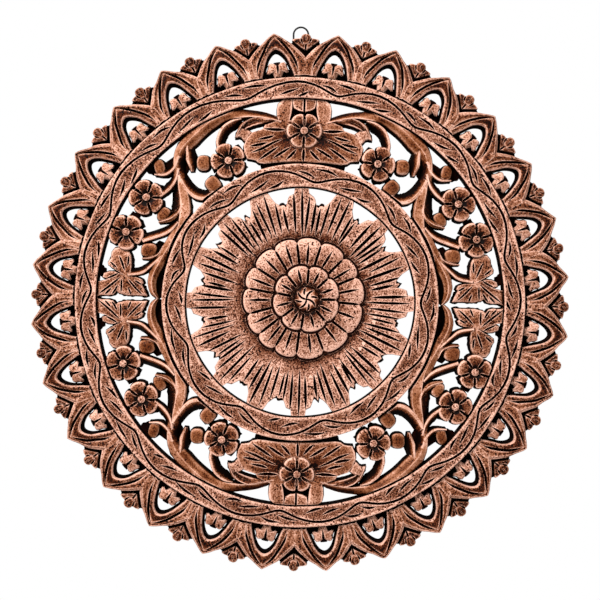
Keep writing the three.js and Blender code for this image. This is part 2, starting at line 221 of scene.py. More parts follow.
class Blank:
    """A closed piece of wood while it is being shaped."""

    def __init__(self) -> None:
        """Start with no wood and with the layers that carry the finish and the painted highlight and shade.
        """
        self.bm = bmesh.new()
        self.traces = {name: self.bm.verts.layers.float.new(name) for name in TRACES}

    def place(self, ring: Ring, stops: Sequence[Stop]) -> None:
        """Put a ring's points at their stops, with the finish and painted highlight and shade of each.

        Args:
            ring: The points.
            stops: Where each goes.
        """
        for vert, stop in zip(ring, stops):
            vert.co = stop[:3]
            vert[self.traces["rub_and_highlight"]] = stop.rub_and_highlight
            vert[self.traces["wash_and_shade"]] = stop.wash_and_shade

    def edges(self, ring: Ring) -> list[bmesh.types.BMEdge]:
        """Return the edges between a ring's points, in order."""
        return [self.bm.edges.get((vert, ring[(i + 1) % len(ring)])) for i, vert in enumerate(ring)]

    def ring(self, stops: Sequence[Stop]) -> Ring:
        """Start a ring of points.

        Args:
            stops: Where its points go.

        Returns:
            The ring's points in order.
        """
        made = list(bmesh.ops.create_circle(self.bm, cap_ends=False, segments=len(stops), radius=1)["verts"])
        self.place(made, stops)
        return made

    def extend(self, ring: Ring, stops: Sequence[Stop], faces: Sequence[Face]) -> Ring:
        """Extrude a ring's edges to the next ring.

        Args:
            ring: The ring that the skin goes on from.
            stops: Where the next ring's points go.
            faces: Material of the face on each edge, or a single one for all.

        Returns:
            The next ring's points in order.
        """
        edges = self.edges(ring)
        grown = set(bmesh.ops.extrude_edge_only(self.bm, edges=edges)["geom"])
        following = [next(e.other_vert(v) for e in v.link_edges if e.other_vert(v) in grown) for v in ring]
        for number, edge in enumerate(edges):
            next(f for f in edge.link_faces if f in grown).material_index = faces[number % len(faces)]
        self.place(following, stops)
        return following

    def close(self, ring: Ring, face: Face) -> None:
        """Cover a ring with one face."""
        paint(bmesh.ops.contextual_create(self.bm, geom=self.edges(ring))["faces"], face)

    def spin(self, stops: Sequence[Stop], turns: int) -> "Blank":
        """Spin a section around the board's middle.

        Args:
            stops: The section, drawn on the x axis.
            turns: Number of steps.

        Returns:
            This blank.
        """
        ring = self.ring(stops)
        bmesh.ops.spin(
            self.bm, geom=[*ring, *self.edges(ring)], cent=(0, 0, 0), axis=(0, 0, 1), angle=2 * math.pi,
            steps=turns, use_merge=True, use_normal_flip=False, use_duplicate=False,
        )
        return self

    def satin(self, amount: float) -> "Blank":
        """Give the whole piece a smoother, browner finish.

        Args:
            amount: How strong that is.

        Returns:
            This blank.
        """
        for vert in self.bm.verts:
            vert[self.traces["satin"]] = amount
        return self

    def mesh(self, name: str) -> Mesh:
        """Turn the faces outwards and hand over the mesh.

        Args:
            name: What to call it.

        Returns:
            The mesh.
        """
        bmesh.ops.recalc_face_normals(self.bm, faces=self.bm.faces)
        if self.bm.calc_volume(signed=True) < 0:
            bmesh.ops.reverse_faces(self.bm, faces=self.bm.faces)
        made = bpy.data.meshes.new(name)
        self.bm.to_mesh(made)
        self.bm.free()
        return made


def mend_traces(mesh: Mesh) -> None:
    """Give the points that joining and cutting made the finish and painted light of the worked wood around
    them.

    Args:
        mesh: The carved board.
    """
    bm = bmesh.new()
    bm.from_mesh(mesh)
    layers = rub_and_highlight, wash_and_shade, satin = [bm.verts.layers.float[name] for name in TRACES]
    touched = {face: {v for f in bm.faces if f.material_index == face for v in f.verts} for face in Face}
    bare = {vert for vert in touched[Face.WORKED] if vert[rub_and_highlight] == vert[wash_and_shade] == vert[satin] == 0}
    known = touched[Face.WORKED] - bare
    cut = bare & touched[Face.STAIN]
    for _ in range(MEND_PASSES):
        found = {}
        for vert in bare:
            near = [other for edge in vert.link_edges if (other := edge.other_vert(vert)) in known]
            if near:
                found[vert] = [sum(other[layer] for other in near) / len(near) for layer in layers]
        for vert, trace_values in found.items():
            vert[rub_and_highlight], vert[wash_and_shade], vert[satin] = trace_values
        known |= found.keys()
        bare -= found.keys()
    for vert in cut:
        vert[rub_and_highlight] = max(vert[rub_and_highlight], CUT_RUB)
        vert[wash_and_shade] *= 0.5
    bm.to_mesh(mesh)
    bm.free()


def stack(rings: Sequence[Sequence[Stop]], skins: Sequence[Sequence[Face]], bottom: Face, top: Face) -> Blank:
    """Skin a row of rings and close both ends.

    Args:
        rings: Rings of equally many stops.
        skins: Material of the skin before each further ring, for each edge or a single one for all.
        bottom: Material of the first end.
        top: Material of the last end.

    Returns:
        The closed piece.
    """
    blank = Blank()
    ring = blank.ring(rings[0])
    blank.close(ring, bottom)
    for stops, faces in zip(rings[1:], skins):
        ring = blank.extend(ring, stops, faces)
    blank.close(ring, top)
    return blank


def loft(sections: Sequence[Sequence[Stop]], faces: Sequence[Face], cap: Face = Face.WALL) -> Blank:
    """Skin a row of sections, all alike, and close both ends."""
    return stack(sections, [faces] * (len(sections) - 1), cap, cap)


def dense(outline: Outline, pitch: float) -> list[Point]:
    """Add points to a closed outline until none are further apart than a pitch.

    Args:
        outline: The outline.
        pitch: The longest distance that stays.

    Returns:
        The outline with its new points.
    """
    full = []
    for start, end in zip(outline, [*outline[1:], outline[0]]):
        count = max(1, math.ceil(math.dist(start, end) / pitch))
        full += [tuple(blend(start, end, step / count)) for step in range(count)]
    return full


def ragged(outline: Outline, amount: float, rough: float) -> list[Point]:
    """Push a closed outline outwards, further at a few rough places.

    Args:
        outline: Points of the carved edge.
        amount: How far the sawn edge stands out everywhere.
        rough: How far it stands out more where the saw strayed.

    Returns:
        The sawn outline.
    """
    count = len(outline)
    area = sum(outline[i - 1][0] * outline[i][1] - outline[i][0] * outline[i - 1][1] for i in range(count))
    turn = 1 if area > 0 else -1
    made = []
    for number, (x, y) in enumerate(outline):
        before, after = outline[number - 1], outline[(number + 1) % count]
        along_edge = (Vector(after) - Vector(before)).normalized()
        stray = noise.noise((x / STRAY_SIZE, y / STRAY_SIZE, 4)) - STRAY_LEVEL
        reach = amount + rough * max(0, stray)
        made.append((x + along_edge.y * reach * turn, y - along_edge.x * reach * turn))
    return made


def mound(
    outline: Outline, middle: Point, steps: Rows, foot: float = 0.0, pitch: float = 0.0,
    skirt: float = 0.0, rough: float = 0.0, ledge: float = 8.0, skin: Face = Face.WORKED,
) -> Blank:
    """Carve a piece whose outline shrinks towards a middle as it rises.

    Args:
        outline: Points of its edge.
        middle: Point that it shrinks towards.
        steps: Share of the outline, height, rubbed copper and dark stain with painted highlight and shade,
            from the edge to the top.
        foot: Height of its underside.
        pitch: Longest distance between the edge's points, if more are added.
        skirt: How far the sawn foot stands out below the carved edge.
        rough: How ragged the sawn foot is.
        ledge: Height of the sawn foot.
        skin: Material of its top.

    Returns:
        The closed piece.
    """
    outline = dense(outline, pitch) if pitch else outline
    sawn = ragged(outline, skirt, rough) if skirt or rough else outline
    rings = [[Stop(x, y, foot) for x, y in sawn]]
    if skirt or rough:
        rings.append([Stop(x, y, foot + ledge, 0, 1) for x, y in sawn])
    skins = [[Face.WALL]] * len(rings) + [[skin]] * (len(steps) - 1)
    for share, height, rub_and_highlight, wash_and_shade in steps:
        rings.append([Stop(*blend(middle, point, share), height, rub_and_highlight, wash_and_shade) for point in outline])
    return stack(rings, skins, Face.BACK, skin)


def sunk(outline: Outline, middle: Point, height: float, pitch: float = 0.0, rough: float = 0.0) -> Blank:
    """Make low wood stained black, which ties higher pieces together; its black also stands for the shade
    between them.

    Args:
        outline: Points of its edge.
        middle: A point inside it.
        height: Height of its top.
        pitch: Longest distance between the edge's points, if more are added.
        rough: How ragged the edge is.

    Returns:
        The closed piece.
    """
    edge = ragged(dense(outline, pitch), 0.0, rough) if rough else outline
    return mound(edge, middle, [(1, height, 0, 1), (0.9, height, 0, 1)], skin=Face.STAIN)


@dataclass(frozen=True)
class Gouge:
    """A V tool and the depth it is driven to."""

    half_width: float = 0.8
    depth: float = 2.4
    taper: float = 0.3
    lip: float = 1.5

    def section(self, spot: Vector, travel: Vector, surface: float, strength: float) -> list[Stop]:
        """Return the tool's triangle at one place of its path.

        Args:
            spot: The place.
            travel: Direction of the stroke.
            surface: Height of the wood.
            strength: Share of the full depth.

        Returns:
            The triangle.
        """
        across = Vector((-travel.y, travel.x))
        reach = self.half_width * strength + self.half_width * self.lip / self.depth
        left, right = spot + across * reach, spot - across * reach
        return [
            Stop(*left, surface + self.lip, 0.85, 0),
            Stop(*right, surface + self.lip, 0.85, 0),
            Stop(*spot, surface - self.depth * strength, 0.85, 0),
        ]

    def cut(self, route: Outline, surface: float | Height, steps: int = 6) -> Blank:
        """Make the wood that one stroke takes away, running out to nothing at both ends.

        Args:
            route: Points of the stroke.
            surface: Height of the wood, or a function that gives it.
            steps: Number of straight steps.

        Returns:
            The stroke, as a closed piece.
        """
        spots = smooth(route, steps)
        sections = []
        for number, (spot, travel) in enumerate(zip(spots, tangents(spots))):
            share = number / steps
            strength = max(0.04, min(1, share / self.taper, (1 - share) / self.taper)) ** 0.75
            height = surface(*spot) if callable(surface) else surface
            sections.append(self.section(spot, travel, height, strength))
        return loft(sections, [Face.STAIN], Face.STAIN)

    def endless(self, spots: Sequence[Vector], surface: float) -> Blank:
        """Make the wood that a stroke around the whole board takes away.

        Args:
            spots: Points of the closed path.
            surface: Height of the wood.

        Returns:
            The stroke, as a closed piece.
        """
        blank = Blank()
        ring = first = None
        for number, spot in enumerate(spots):
            travel = (spots[(number + 1) % len(spots)] - spots[number - 1]).normalized()
            section = self.section(spot, travel, surface, 1)
            ring = blank.extend(ring, section, [Face.STAIN]) if ring else blank.ring(section)
            first = first or ring
        rims = [*blank.edges(first), *blank.edges(ring)]
        paint(bmesh.ops.bridge_loops(blank.bm, edges=rims)["faces"], Face.STAIN)
        return blank


class Bench:
    """Where blanks become objects and are joined to and cut from each other."""

    def __init__(self, slots: Sequence[bpy.types.Material]) -> None:
        """Lay out the bench with the materials that every piece shares."""
        self.slots = slots

    def object(self, blank: Blank | Mesh, name: str = "blank") -> Piece:
        """Put a blank on the bench.

        Args:
            blank: The blank, or a mesh made from one.
            name: What to call it.

        Returns:
            The object.
        """
        mesh = blank.mesh(name) if isinstance(blank, Blank) else blank
        if not mesh.materials:
            for slot in self.slots:
                mesh.materials.append(slot)
        made = bpy.data.objects.new(name, mesh)
        bpy.context.scene.collection.objects.link(made)
        return made

    def work(self, base: Piece, tools: Iterable[Piece], operation: str) -> Piece:
        """Join many pieces to one, or cut them from it.

        Args:
            base: The piece that is kept.
            tools: The pieces that are used up.
            operation: UNION or DIFFERENCE.

        Returns:
            The piece that is kept, with its new mesh.
        """
        used = list(tools)
        if not used:
            return base
        tray = bpy.data.collections.new("tray")
        for piece in used:
            bpy.context.scene.collection.objects.unlink(piece)
            tray.objects.link(piece)
        bpy.context.scene.collection.children.link(tray)
        modifier = base.modifiers.new(operation, "BOOLEAN")
        modifier.solver = "MANIFOLD"
        modifier.operation = operation
        modifier.operand_type = "COLLECTION"
        modifier.collection = tray
        graph = bpy.context.evaluated_depsgraph_get()
        worked = bpy.data.meshes.new_from_object(base.evaluated_get(graph))
        base.modifiers.clear()
        spent = base.data
        base.data = worked
        bpy.data.meshes.remove(spent)
        for piece in used:
            mesh = piece.data
            bpy.data.objects.remove(piece)
            bpy.data.meshes.remove(mesh)
        bpy.data.collections.remove(tray)
        return base

    def carve(self, pieces: Sequence[Blank], strokes: Sequence[Blank], name: str) -> Piece:
        """Join blanks into one piece and cut strokes into it.

        Args:
            pieces: The blanks to join.
            strokes: The wood to take away.
            name: What to call the piece.

        Returns:
            The carved piece.
        """
        objects = [self.object(piece, name) for piece in pieces]
        joined = self.work(objects[0], objects[1:], "UNION")
        return self.work(joined, [self.object(stroke, "stroke") for stroke in strokes], "DIFFERENCE")

    def copy(self, piece: Piece, matrix: Matrix, hand: "Hand") -> Piece:
        """Copy a piece to another place, as a hand would repeat it.

        Args:
            piece: The carved piece.
            matrix: Where the copy goes; it may mirror.
            hand: The unsteadiness of the copy.

        Returns:
            The copy.
        """
        mesh = piece.data.copy()
        mesh.transform(matrix)
        if matrix.determinant() < 0:
            mesh.flip_normals()
        hand.waver(mesh)
        return self.object(mesh, piece.name)


@dataclass(frozen=True)
class Hand:
    """Unsteadiness of the carver's hand, as a smooth drift of every point."""

    seed: int
    drift: float = 0.45
    lift: float = 0.25
    size: float = 24.0

    def waver(self, mesh: Mesh) -> None:
        """Move a mesh's points a little; points on the back keep their height.

        Args:
            mesh: The mesh.
        """
        offset = Vector((self.seed * 17.3, self.seed * 5.1, 0))
        for vert in mesh.vertices:
            drift = noise.noise_vector(vert.co.xy.to_3d() / self.size + offset)
            vert.co.x += drift.x * self.drift
            vert.co.y += drift.y * self.drift
            vert.co.z += drift.z * self.lift * vert.co.z / BOARD


@dataclass(frozen=True)
class RingBand:
    """A flat ring with a winding line and pairs of short cuts beside it."""

    name: str
    inner: float
    outer: float
    middle: float
    swing: float
    crests: Sequence[float]
    turns: int = 216
    ease: float = 0.9
    lanes: int = 6
    lean: float = 0.06
    hollow: float = 0.9
    slope: float = 3.6
    rims_rub: float = 0.72
    hollow_rub: float = 0.29
    hollow_wash: float = 0.11
    wave: Gouge = Gouge(1.6, 4.4, 0.3, 1)
    vein: Gouge = Gouge(1.75, 4.6, 0.4, 1)
    vein_surface: float = BOARD - 0.5
    steps: int = 14
    # Start, end and the two heights of each vein, as shares of the wave and of half the ring's width
    inner_veins: Rows = ((-0.25, 0.02, 0.6, 0.04), (-0.02, 0.18, 0.8, 0.32))
    outer_veins: Rows = ((-0.21, 0.02, 0.36, -0.22), (-0.02, 0.25, 0.56, 0.28))

    @property
    def ends(self) -> list[float]:
        """Clock angles of the crests, with the first one again at the end."""
        return [*self.crests, self.crests[0] + 360]

    def band(self) -> Blank:
        """Spin the ring's profile around the board, then hollow it between the rims and the winding line.

        Returns:
            The plain ring.
        """
        top, ease = CARVED_TOP, self.ease
        inside, outside = self.inner + 1.6 * ease, self.outer - 1.6 * ease
        lanes = [(outside + (inside - outside) * lane / self.lanes, top) for lane in range(self.lanes + 1)]
        profile = [
            (self.inner, 0), (self.outer, 0), (self.outer, top - 2 * ease),
            (self.outer - 0.4 * ease, top - 0.7 * ease), *lanes,
            (self.inner + 0.4 * ease, top - 0.7 * ease), (self.inner, top - 2 * ease),
        ]
        trace_values = [0, 0, 0.7, 0.75, *[0.6] * len(lanes), 0.75, 0.7]
        section = [Stop(radius, 0, height, wear_and_light) for (radius, height), wear_and_light in zip(profile, trace_values)]
        blank = Blank().spin(section, self.turns)
        for face in blank.bm.faces:
            centre = face.calc_center_median()
            upright = not self.inner + 0.2 < centre.xy.length < self.outer - 0.2
            wall = Face.WALL if upright and centre.z < top / 2 - ease + 0.1 else Face.WORKED
            face.material_index = Face.BACK if centre.z < 0.01 else wall
        for vert in blank.bm.verts:
            if vert.co.z > top - 0.01:
                reach = vert.co.xy.length
                angle = math.degrees(math.atan2(vert.co.x, vert.co.y))
                clear = min(abs(reach - self.line_radius(angle)), reach - inside, outside - reach)
                share = min(1, max(0, clear / self.slope))
                vert.co.z -= self.hollow * share
                vert[blank.traces["rub_and_highlight"]] = self.rims_rub + (self.hollow_rub - self.rims_rub) * share
                vert[blank.traces["wash_and_shade"]] = self.hollow_wash * share
        return blank

    def line_radius(self, angle: float) -> float:
        """Return how far out the winding line runs.

        Args:
            angle: The clock angle.

        Returns:
            The radius.
        """
        place = self.crests[0] + (angle - self.crests[0]) % 360
        number = max(k for k in range(len(self.crests)) if self.ends[k] <= place)
        share = (place - self.ends[number]) / (self.ends[number + 1] - self.ends[number])
        return self.middle + self.swing * math.cos(2 * math.pi * share)

    def winding(self, share: float, number: int) -> Point:
        """Return a point of the winding line between two crests.

        Args:
            share: Place between them.
            number: Which crest comes first.

        Returns:
            The point.
        """
        crest, following = self.ends[number:number + 2]
        lean = self.lean * math.sin(2 * math.pi * share)
        angle = crest + (following - crest) * (share + lean)
        return clock_point(angle, self.middle + self.swing * math.cos(2 * math.pi * share))

    def strokes(self, dice: Dice) -> list[Blank]:
        """Cut the winding line and the short veins on both sides of it.

        Args:
            dice: Source of the small differences.

        Returns:
            The strokes.
        """
        numbers = range(len(self.crests))
        line = [Vector(self.winding(step / self.steps, k)) for k in numbers for step in range(self.steps)]
        strokes = [self.wave.endless(line, CARVED_TOP)]
        width = (self.outer - self.inner) / 2
        for number in numbers:
            strokes += self.veins(number, 0, -width, self.inner_veins, dice)
            strokes += self.veins(number, 0.5, width, self.outer_veins, dice)
        return strokes

    def veins(self, number: int, share: float, width: float, pairs: Rows, dice: Dice) -> list[Blank]:
        """Cut the two short veins in one hollow of the winding line.

        Args:
            number: Which crest the hollow belongs to.
            share: Where along the wave its middle is.
            width: Half the ring's width; negative for a hollow that opens towards the centre.
            pairs: The veins.
            dice: Source of the small differences.

        Returns:
            The strokes.
        """
        crest, following = self.ends[number:number + 2]
        span = following - crest
        centre = crest + span * share
        strokes = []
        for start, end, low, high in pairs:
            jitter = [dice.uniform(-0.03, 0.03) for _ in range(4)]
            spots = (
                (start + jitter[0], low + jitter[1] * 2),
                ((start + end) / 2, (low + high) / 2 + dice.uniform(0.06, 0.14)),
                (end + jitter[2], high + jitter[3] * 2),
            )
            spots = [(centre + span * place, self.middle + width * height) for place, height in spots]
            strokes.append(self.vein.cut([clock_point(*spot) for spot in spots], self.vein_surface))
        return strokes

    def carve(self, bench: Bench, dice: Dice) -> Piece:
        """Carve the ring."""
        return bench.carve([self.band()], self.strokes(dice), self.name)


@dataclass(frozen=True)
class BorderPetal:
    """One pointed arch of the border with its trefoil, the fleur beside it and the pit below that."""

    # Stations from the foot to the tip: opening's edge, V line, outer edge, V line's strength
    stations: Sequence[tuple[Point, Point, Point, float]] = (
        ((17.8, 247), (22.9, 247), (30.9, 247), 0),
        ((17.6, 252.6), (22.7, 253.6), (31.6, 254), 0),
        ((15.8, 258.2), (22.2, 259.4), (32.4, 260.4), 0.35),
        ((14.2, 263.4), (20.9, 264.9), (32.9, 266.2), 0.9),
        ((12.6, 268.2), (18.9, 270.2), (32.4, 270), 1),
        ((10.8, 272.9), (16.4, 275.6), (28.6, 275.6), 1),
        ((8.6, 276.6), (13.7, 280.6), (23.6, 281.6), 1),
        ((6.4, 279.2), (10.6, 285.2), (17.8, 287.6), 1),
        ((4.2, 281), (7.2, 289.2), (11.8, 291.8), 0.85),
        ((2, 282.2), (3.6, 292.8), (6.2, 296.4), 0.4),
        ((0, 282.6), (0, 295.2), (0, 300.6), 0),
    )
    smoothness: int = 2
    # Height at the foot and what the tip adds, for the edges of the strips and for their crests
    edge_rise: Point = (13.4, 1.6)
    crest_rise: Point = (15.6, 2.4)
    half_line: float = 1.6
    line_depth: float = 5.4
    ledge: float = 1.9
    trefoil_half: Outline = (
        (0, 262.4), (1.5, 265.6), (4.2, 268), (8.2, 268.4), (10.2, 266), (10.4, 262.4), (12.2, 259),
        (12.2, 256.6), (9.8, 255.6), (7.4, 257.4), (5.4, 255.6), (4, 251.4), (4.4, 247.2), (0, 247.2),
    )
    bar: Outline = ((0, 269.6), (3.6, 269.4), (4.2, 266), (0, 262))
    sill: Outline = ((0, 258), (6, 260), (15.4, 260), (17.6, 251), (18.5, 246.5), (0, 246.5))
    sill_height: float = 5.5
    fleur_tip: Outline = (
        (0, 299.7), (2.4, 299.3), (4.4, 297.9), (5.4, 295.8), (5.6, 293), (4.4, 289.6), (2.4, 287.6),
        (0, 286.8),
    )
    fleur_side: Outline = (
        (3.4, 295.8), (6.4, 294.6), (9.8, 294.2), (12.6, 293.2), (13.2, 291.6), (10.4, 288.9), (6.8, 285.9),
        (3.8, 283.2), (0.4, 281), (0.4, 286),
    )
    plain_gap: float = 6.4
    web: Outline = ((0, 266), (14, 283), (17.8, 288.6), (14.8, 291.6), (9, 294.5), (4, 296))
    web_height: float = 4.0
    bar_height: float = 9.0
    trefoil_heart: Point = (0, 259.6)
    sill_heart: Point = (0, 253)
    bar_heart: Point = (0, 266.5)
    fleur_heart: Point = (6, 289.6)
    tip_heart: Point = (0, 293.6)
    web_heart: Point = (0, 281)
    notch_route: Outline = ((0, 275), (0, 265), (0, 254))
    vein_route: Outline = ((6.2, 296.8), (5.4, 292), (2.6, 286))
    scratch_route: Outline = ((0, 298), (0, 290))
    notch_top: float = 16.0
    fleur_top: float = 14.0
    tip_top: float = 15.7
    # Share of the outline, height, rubbed copper and dark stain with painted highlight and shade, of each
    # rising piece
    trefoil_steps: Rows = (
        (1, 10.6, 0.7, 0), (0.92, 13.2, 1, 0), (0.72, 14.9, 0.75, 0), (0.42, 16.2, 0.6, 0),
        (0.16, 16.8, 0.5, 0),
    )
    fleur_steps: Rows = (
        (1, 10.4, 0.8, 0.05), (0.86, 12.8, 0.85, 0), (0.64, 13.6, 0.25, 0.25), (0.3, 13.8, 0.22, 0.3),
    )
    tip_steps: Rows = (
        (1, 11.8, 0.55, 0.15), (0.88, 14.2, 0.62, 0.08), (0.55, 15.4, 0.25, 0.28), (0.2, 15.7, 0.22, 0.3),
    )
    notch: Gouge = Gouge(1.6, 8, 0.45)
    vein: Gouge = Gouge(1.05, 3, 0.4)
    scratch: Gouge = Gouge(0.5, 1.4, 0.4)

    def section(self, station: Sequence[float], side: int) -> list[Stop]:
        """Return the arch's section at one station.

        Args:
            station: x and y of the opening's edge, the V line and the outer edge, the line's strength and
                the share of the way.
            side: 1 on the right of the petal, -1 on the left.

        Returns:
            The section, from the opening's foot over the two strips to the outer foot.
        """
        opening, line, outer = Vector(station[0:2]), Vector(station[2:4]), Vector(station[4:6])
        strength, share = station[6], station[7]
        rise = min(1, 0.5 + 2.4 * share)
        crest_place = min(1, max(0, share - 0.28) / 0.22)
        inner_run, outer_run = line - opening, outer - line
        lip = self.half_line * max(0.05, strength)
        inner_lip = line - inner_run.normalized() * min(lip, 0.34 * inner_run.length)
        outer_lip = line + outer_run.normalized() * min(lip, 0.34 * outer_run.length)
        foot = opening - inner_run.normalized() * self.ledge
        if foot.x < 0:
            foot = Vector((0, foot.y))
        base = self.edge_rise[0] + self.edge_rise[1] * rise
        crest = self.crest_rise[0] + self.crest_rise[1] * rise
        # Painted shade: the arch is darker near its foot beside the ring, and the middles of its strips
        # darken towards the tip
        foot_shade = max(0, 1 - share / 0.1) * 0.6
        shade = 0.08 + 0.28 * math.sin(min(1, share * 1.2) * math.pi / 2) ** 4
        valley = crest - 0.9 - (self.line_depth if strength > 0.05 else 0) * strength
        ridge = crest + 0.8
        shoulder = base + 0.4 if crest_place > 0.5 else ridge - 0.2
        rows = [
            (foot, 0, 0, 1),
            (foot, 6, 0, 1),
            (opening, 7, 0, 1),
            (opening, base - 0.4, 1, 0),
            (opening + inner_run * 0.12, crest - 0.7, 0.95, foot_shade),
            (opening + inner_run * 0.3, crest + 0.1, 0.34, foot_shade + shade),
            (opening + inner_run * 0.62, crest, 0.22, foot_shade + 0.08 + shade),
            (inner_lip, crest - 0.7, 0.7, foot_shade),
            (line, valley, 0, 1 if strength > 0.05 else foot_shade),
            (outer_lip, crest - 0.7, 0.75, foot_shade),
            (line + outer_run * 0.38, crest + 0.3, 0.28, foot_shade + 0.04 + shade),
            (line + outer_run * (0.66 + 0.2 * (1 - crest_place)), ridge - 0.1, 0.42, foot_shade * 0.5),
            (line + outer_run * (0.88 + 0.06 * (1 - crest_place)), shoulder + 0.9 * crest_place, 0.85, 0),
            (outer, base if crest_place > 0.5 else base + 0.5, 0.9, 0),
            (outer, 0, 0, 0),
        ]
        return [Stop(spot.x * side, spot.y, height, rub_and_highlight, wash_and_shade) for spot, height, rub_and_highlight, wash_and_shade in rows]

    def arch(self) -> Blank:
        """Loft the arch from its left foot over the tip to its right foot.

        Returns:
            The arch.
        """
        half = []
        count = (len(self.stations) - 1) * self.smoothness
        *columns, strengths = zip(*self.stations)
        for step in range(count + 1):
            share = step / count
            spots = [place for column in columns for place in flowing(column, share)]
            half.append([*spots, *along([(strength,) for strength in strengths], share), share])
        sections = [self.section(station, -1) for station in half]
        sections += [self.section(station, 1) for station in reversed(half[:-1])]
        worked, stain, wall = [Face.WORKED] * 4, [Face.STAIN] * 2, Face.WALL
        return loft(sections, [wall, wall, wall, *worked, *stain, *worked, wall, Face.BACK])

    def trefoil(self) -> list[Blank]:
        """Carve the lobes and the stem that stand in the arch, on a low sill.

        Returns:
            The lobes and the low wood.
        """
        lobes = mirrored(self.trefoil_half)
        return [
            mound(lobes, self.trefoil_heart, self.trefoil_steps, pitch=3.3, skirt=0.7, rough=1.5, ledge=6.0),
            sunk(mirrored(self.sill), self.sill_heart, self.sill_height, pitch=3.8, rough=1.0),
            sunk(mirrored(self.bar), self.bar_heart, self.bar_height),
        ]

    def fleur(self, turn: float) -> list[Blank]:
        """Carve the small leaf that stands in the gap beside the petal.

        Args:
            turn: Clock angle of the gap's middle from the petal.

        Returns:
            Its lobes and the low web that carries it.
        """
        spread = (turn / self.plain_gap) ** 2
        pieces = []
        for side in (1, -1):
            outline = [turned((x * side * spread, y), turn) for x, y in self.fleur_side]
            heart = turned((self.fleur_heart[0] * side, self.fleur_heart[1]), turn)
            pieces.append(mound(outline, heart, self.fleur_steps, pitch=4.8))
        tip = [turned(point, turn) for point in mirrored(self.fleur_tip)]
        pieces.append(mound(tip, turned(self.tip_heart, turn), self.tip_steps, pitch=2.6))
        web = [turned(point, turn) for point in mirrored(self.web)]
        return [*pieces, sunk(web, turned(self.web_heart, turn), self.web_height)]

    def strokes(self, turn: float) -> list[Blank]:
        """Cut the notch of the trefoil and the veins of the fleur.

        Args:
            turn: Clock angle of the gap's middle from the petal.

        Returns:
            The strokes.
        """
        strokes = [self.notch.cut(self.notch_route, self.notch_top)]
        for side in (1, -1):
            route = [turned((x * side, y), turn) for x, y in self.vein_route]
            strokes.append(self.vein.cut(route, self.fleur_top, 4))
        route = [turned(point, turn) for point in self.scratch_route]
        return [*strokes, self.scratch.cut(route, self.tip_top, 4)]

    def carve(self, bench: Bench, turn: float) -> Piece:
        """Carve one petal with its fleur."""
        pieces = [piece.satin(0.35) for piece in (self.arch(), *self.trefoil(), *self.fleur(turn))]
        return bench.carve(pieces, self.strokes(turn), "border_petal")


@dataclass(frozen=True)
class Border:
    """Two halves of fourteen petals, with a slightly wider gap at the top and the bottom."""

    in_half: int = 14
    wide_gap: float = 13.8
    drift: float = 0.35
    petal: BorderPetal = BorderPetal()

    @property
    def pitch(self) -> float:
        """Angle between neighbours of one half."""
        return (180 - self.wide_gap) / (self.in_half - 1)

    def carve(self, bench: Bench, dice: Dice) -> list[Piece]:
        """Repeat the petal around the board.

        Args:
            bench: Where the pieces are made.
            dice: Source of the small differences.

        Returns:
            The petals.
        """
        plain = self.petal.carve(bench, -self.pitch / 2)
        first = self.petal.carve(bench, -self.wide_gap / 2)
        petals = []
        for half in (0, 180):
            for number in range(self.in_half):
                angle = half + self.wide_gap / 2 + number * self.pitch
                angle += 0.05 - self.drift * math.sin(math.radians(angle))
                matrix = Matrix.Rotation(-math.radians(angle), 4, "Z")
                hand = Hand(dice.randrange(1000), 0.8, 0.5, 16)
                petals.append(bench.copy(plain if number else first, matrix, hand))
        for pattern in (plain, first):
            bpy.data.objects.remove(pattern)
        return petals


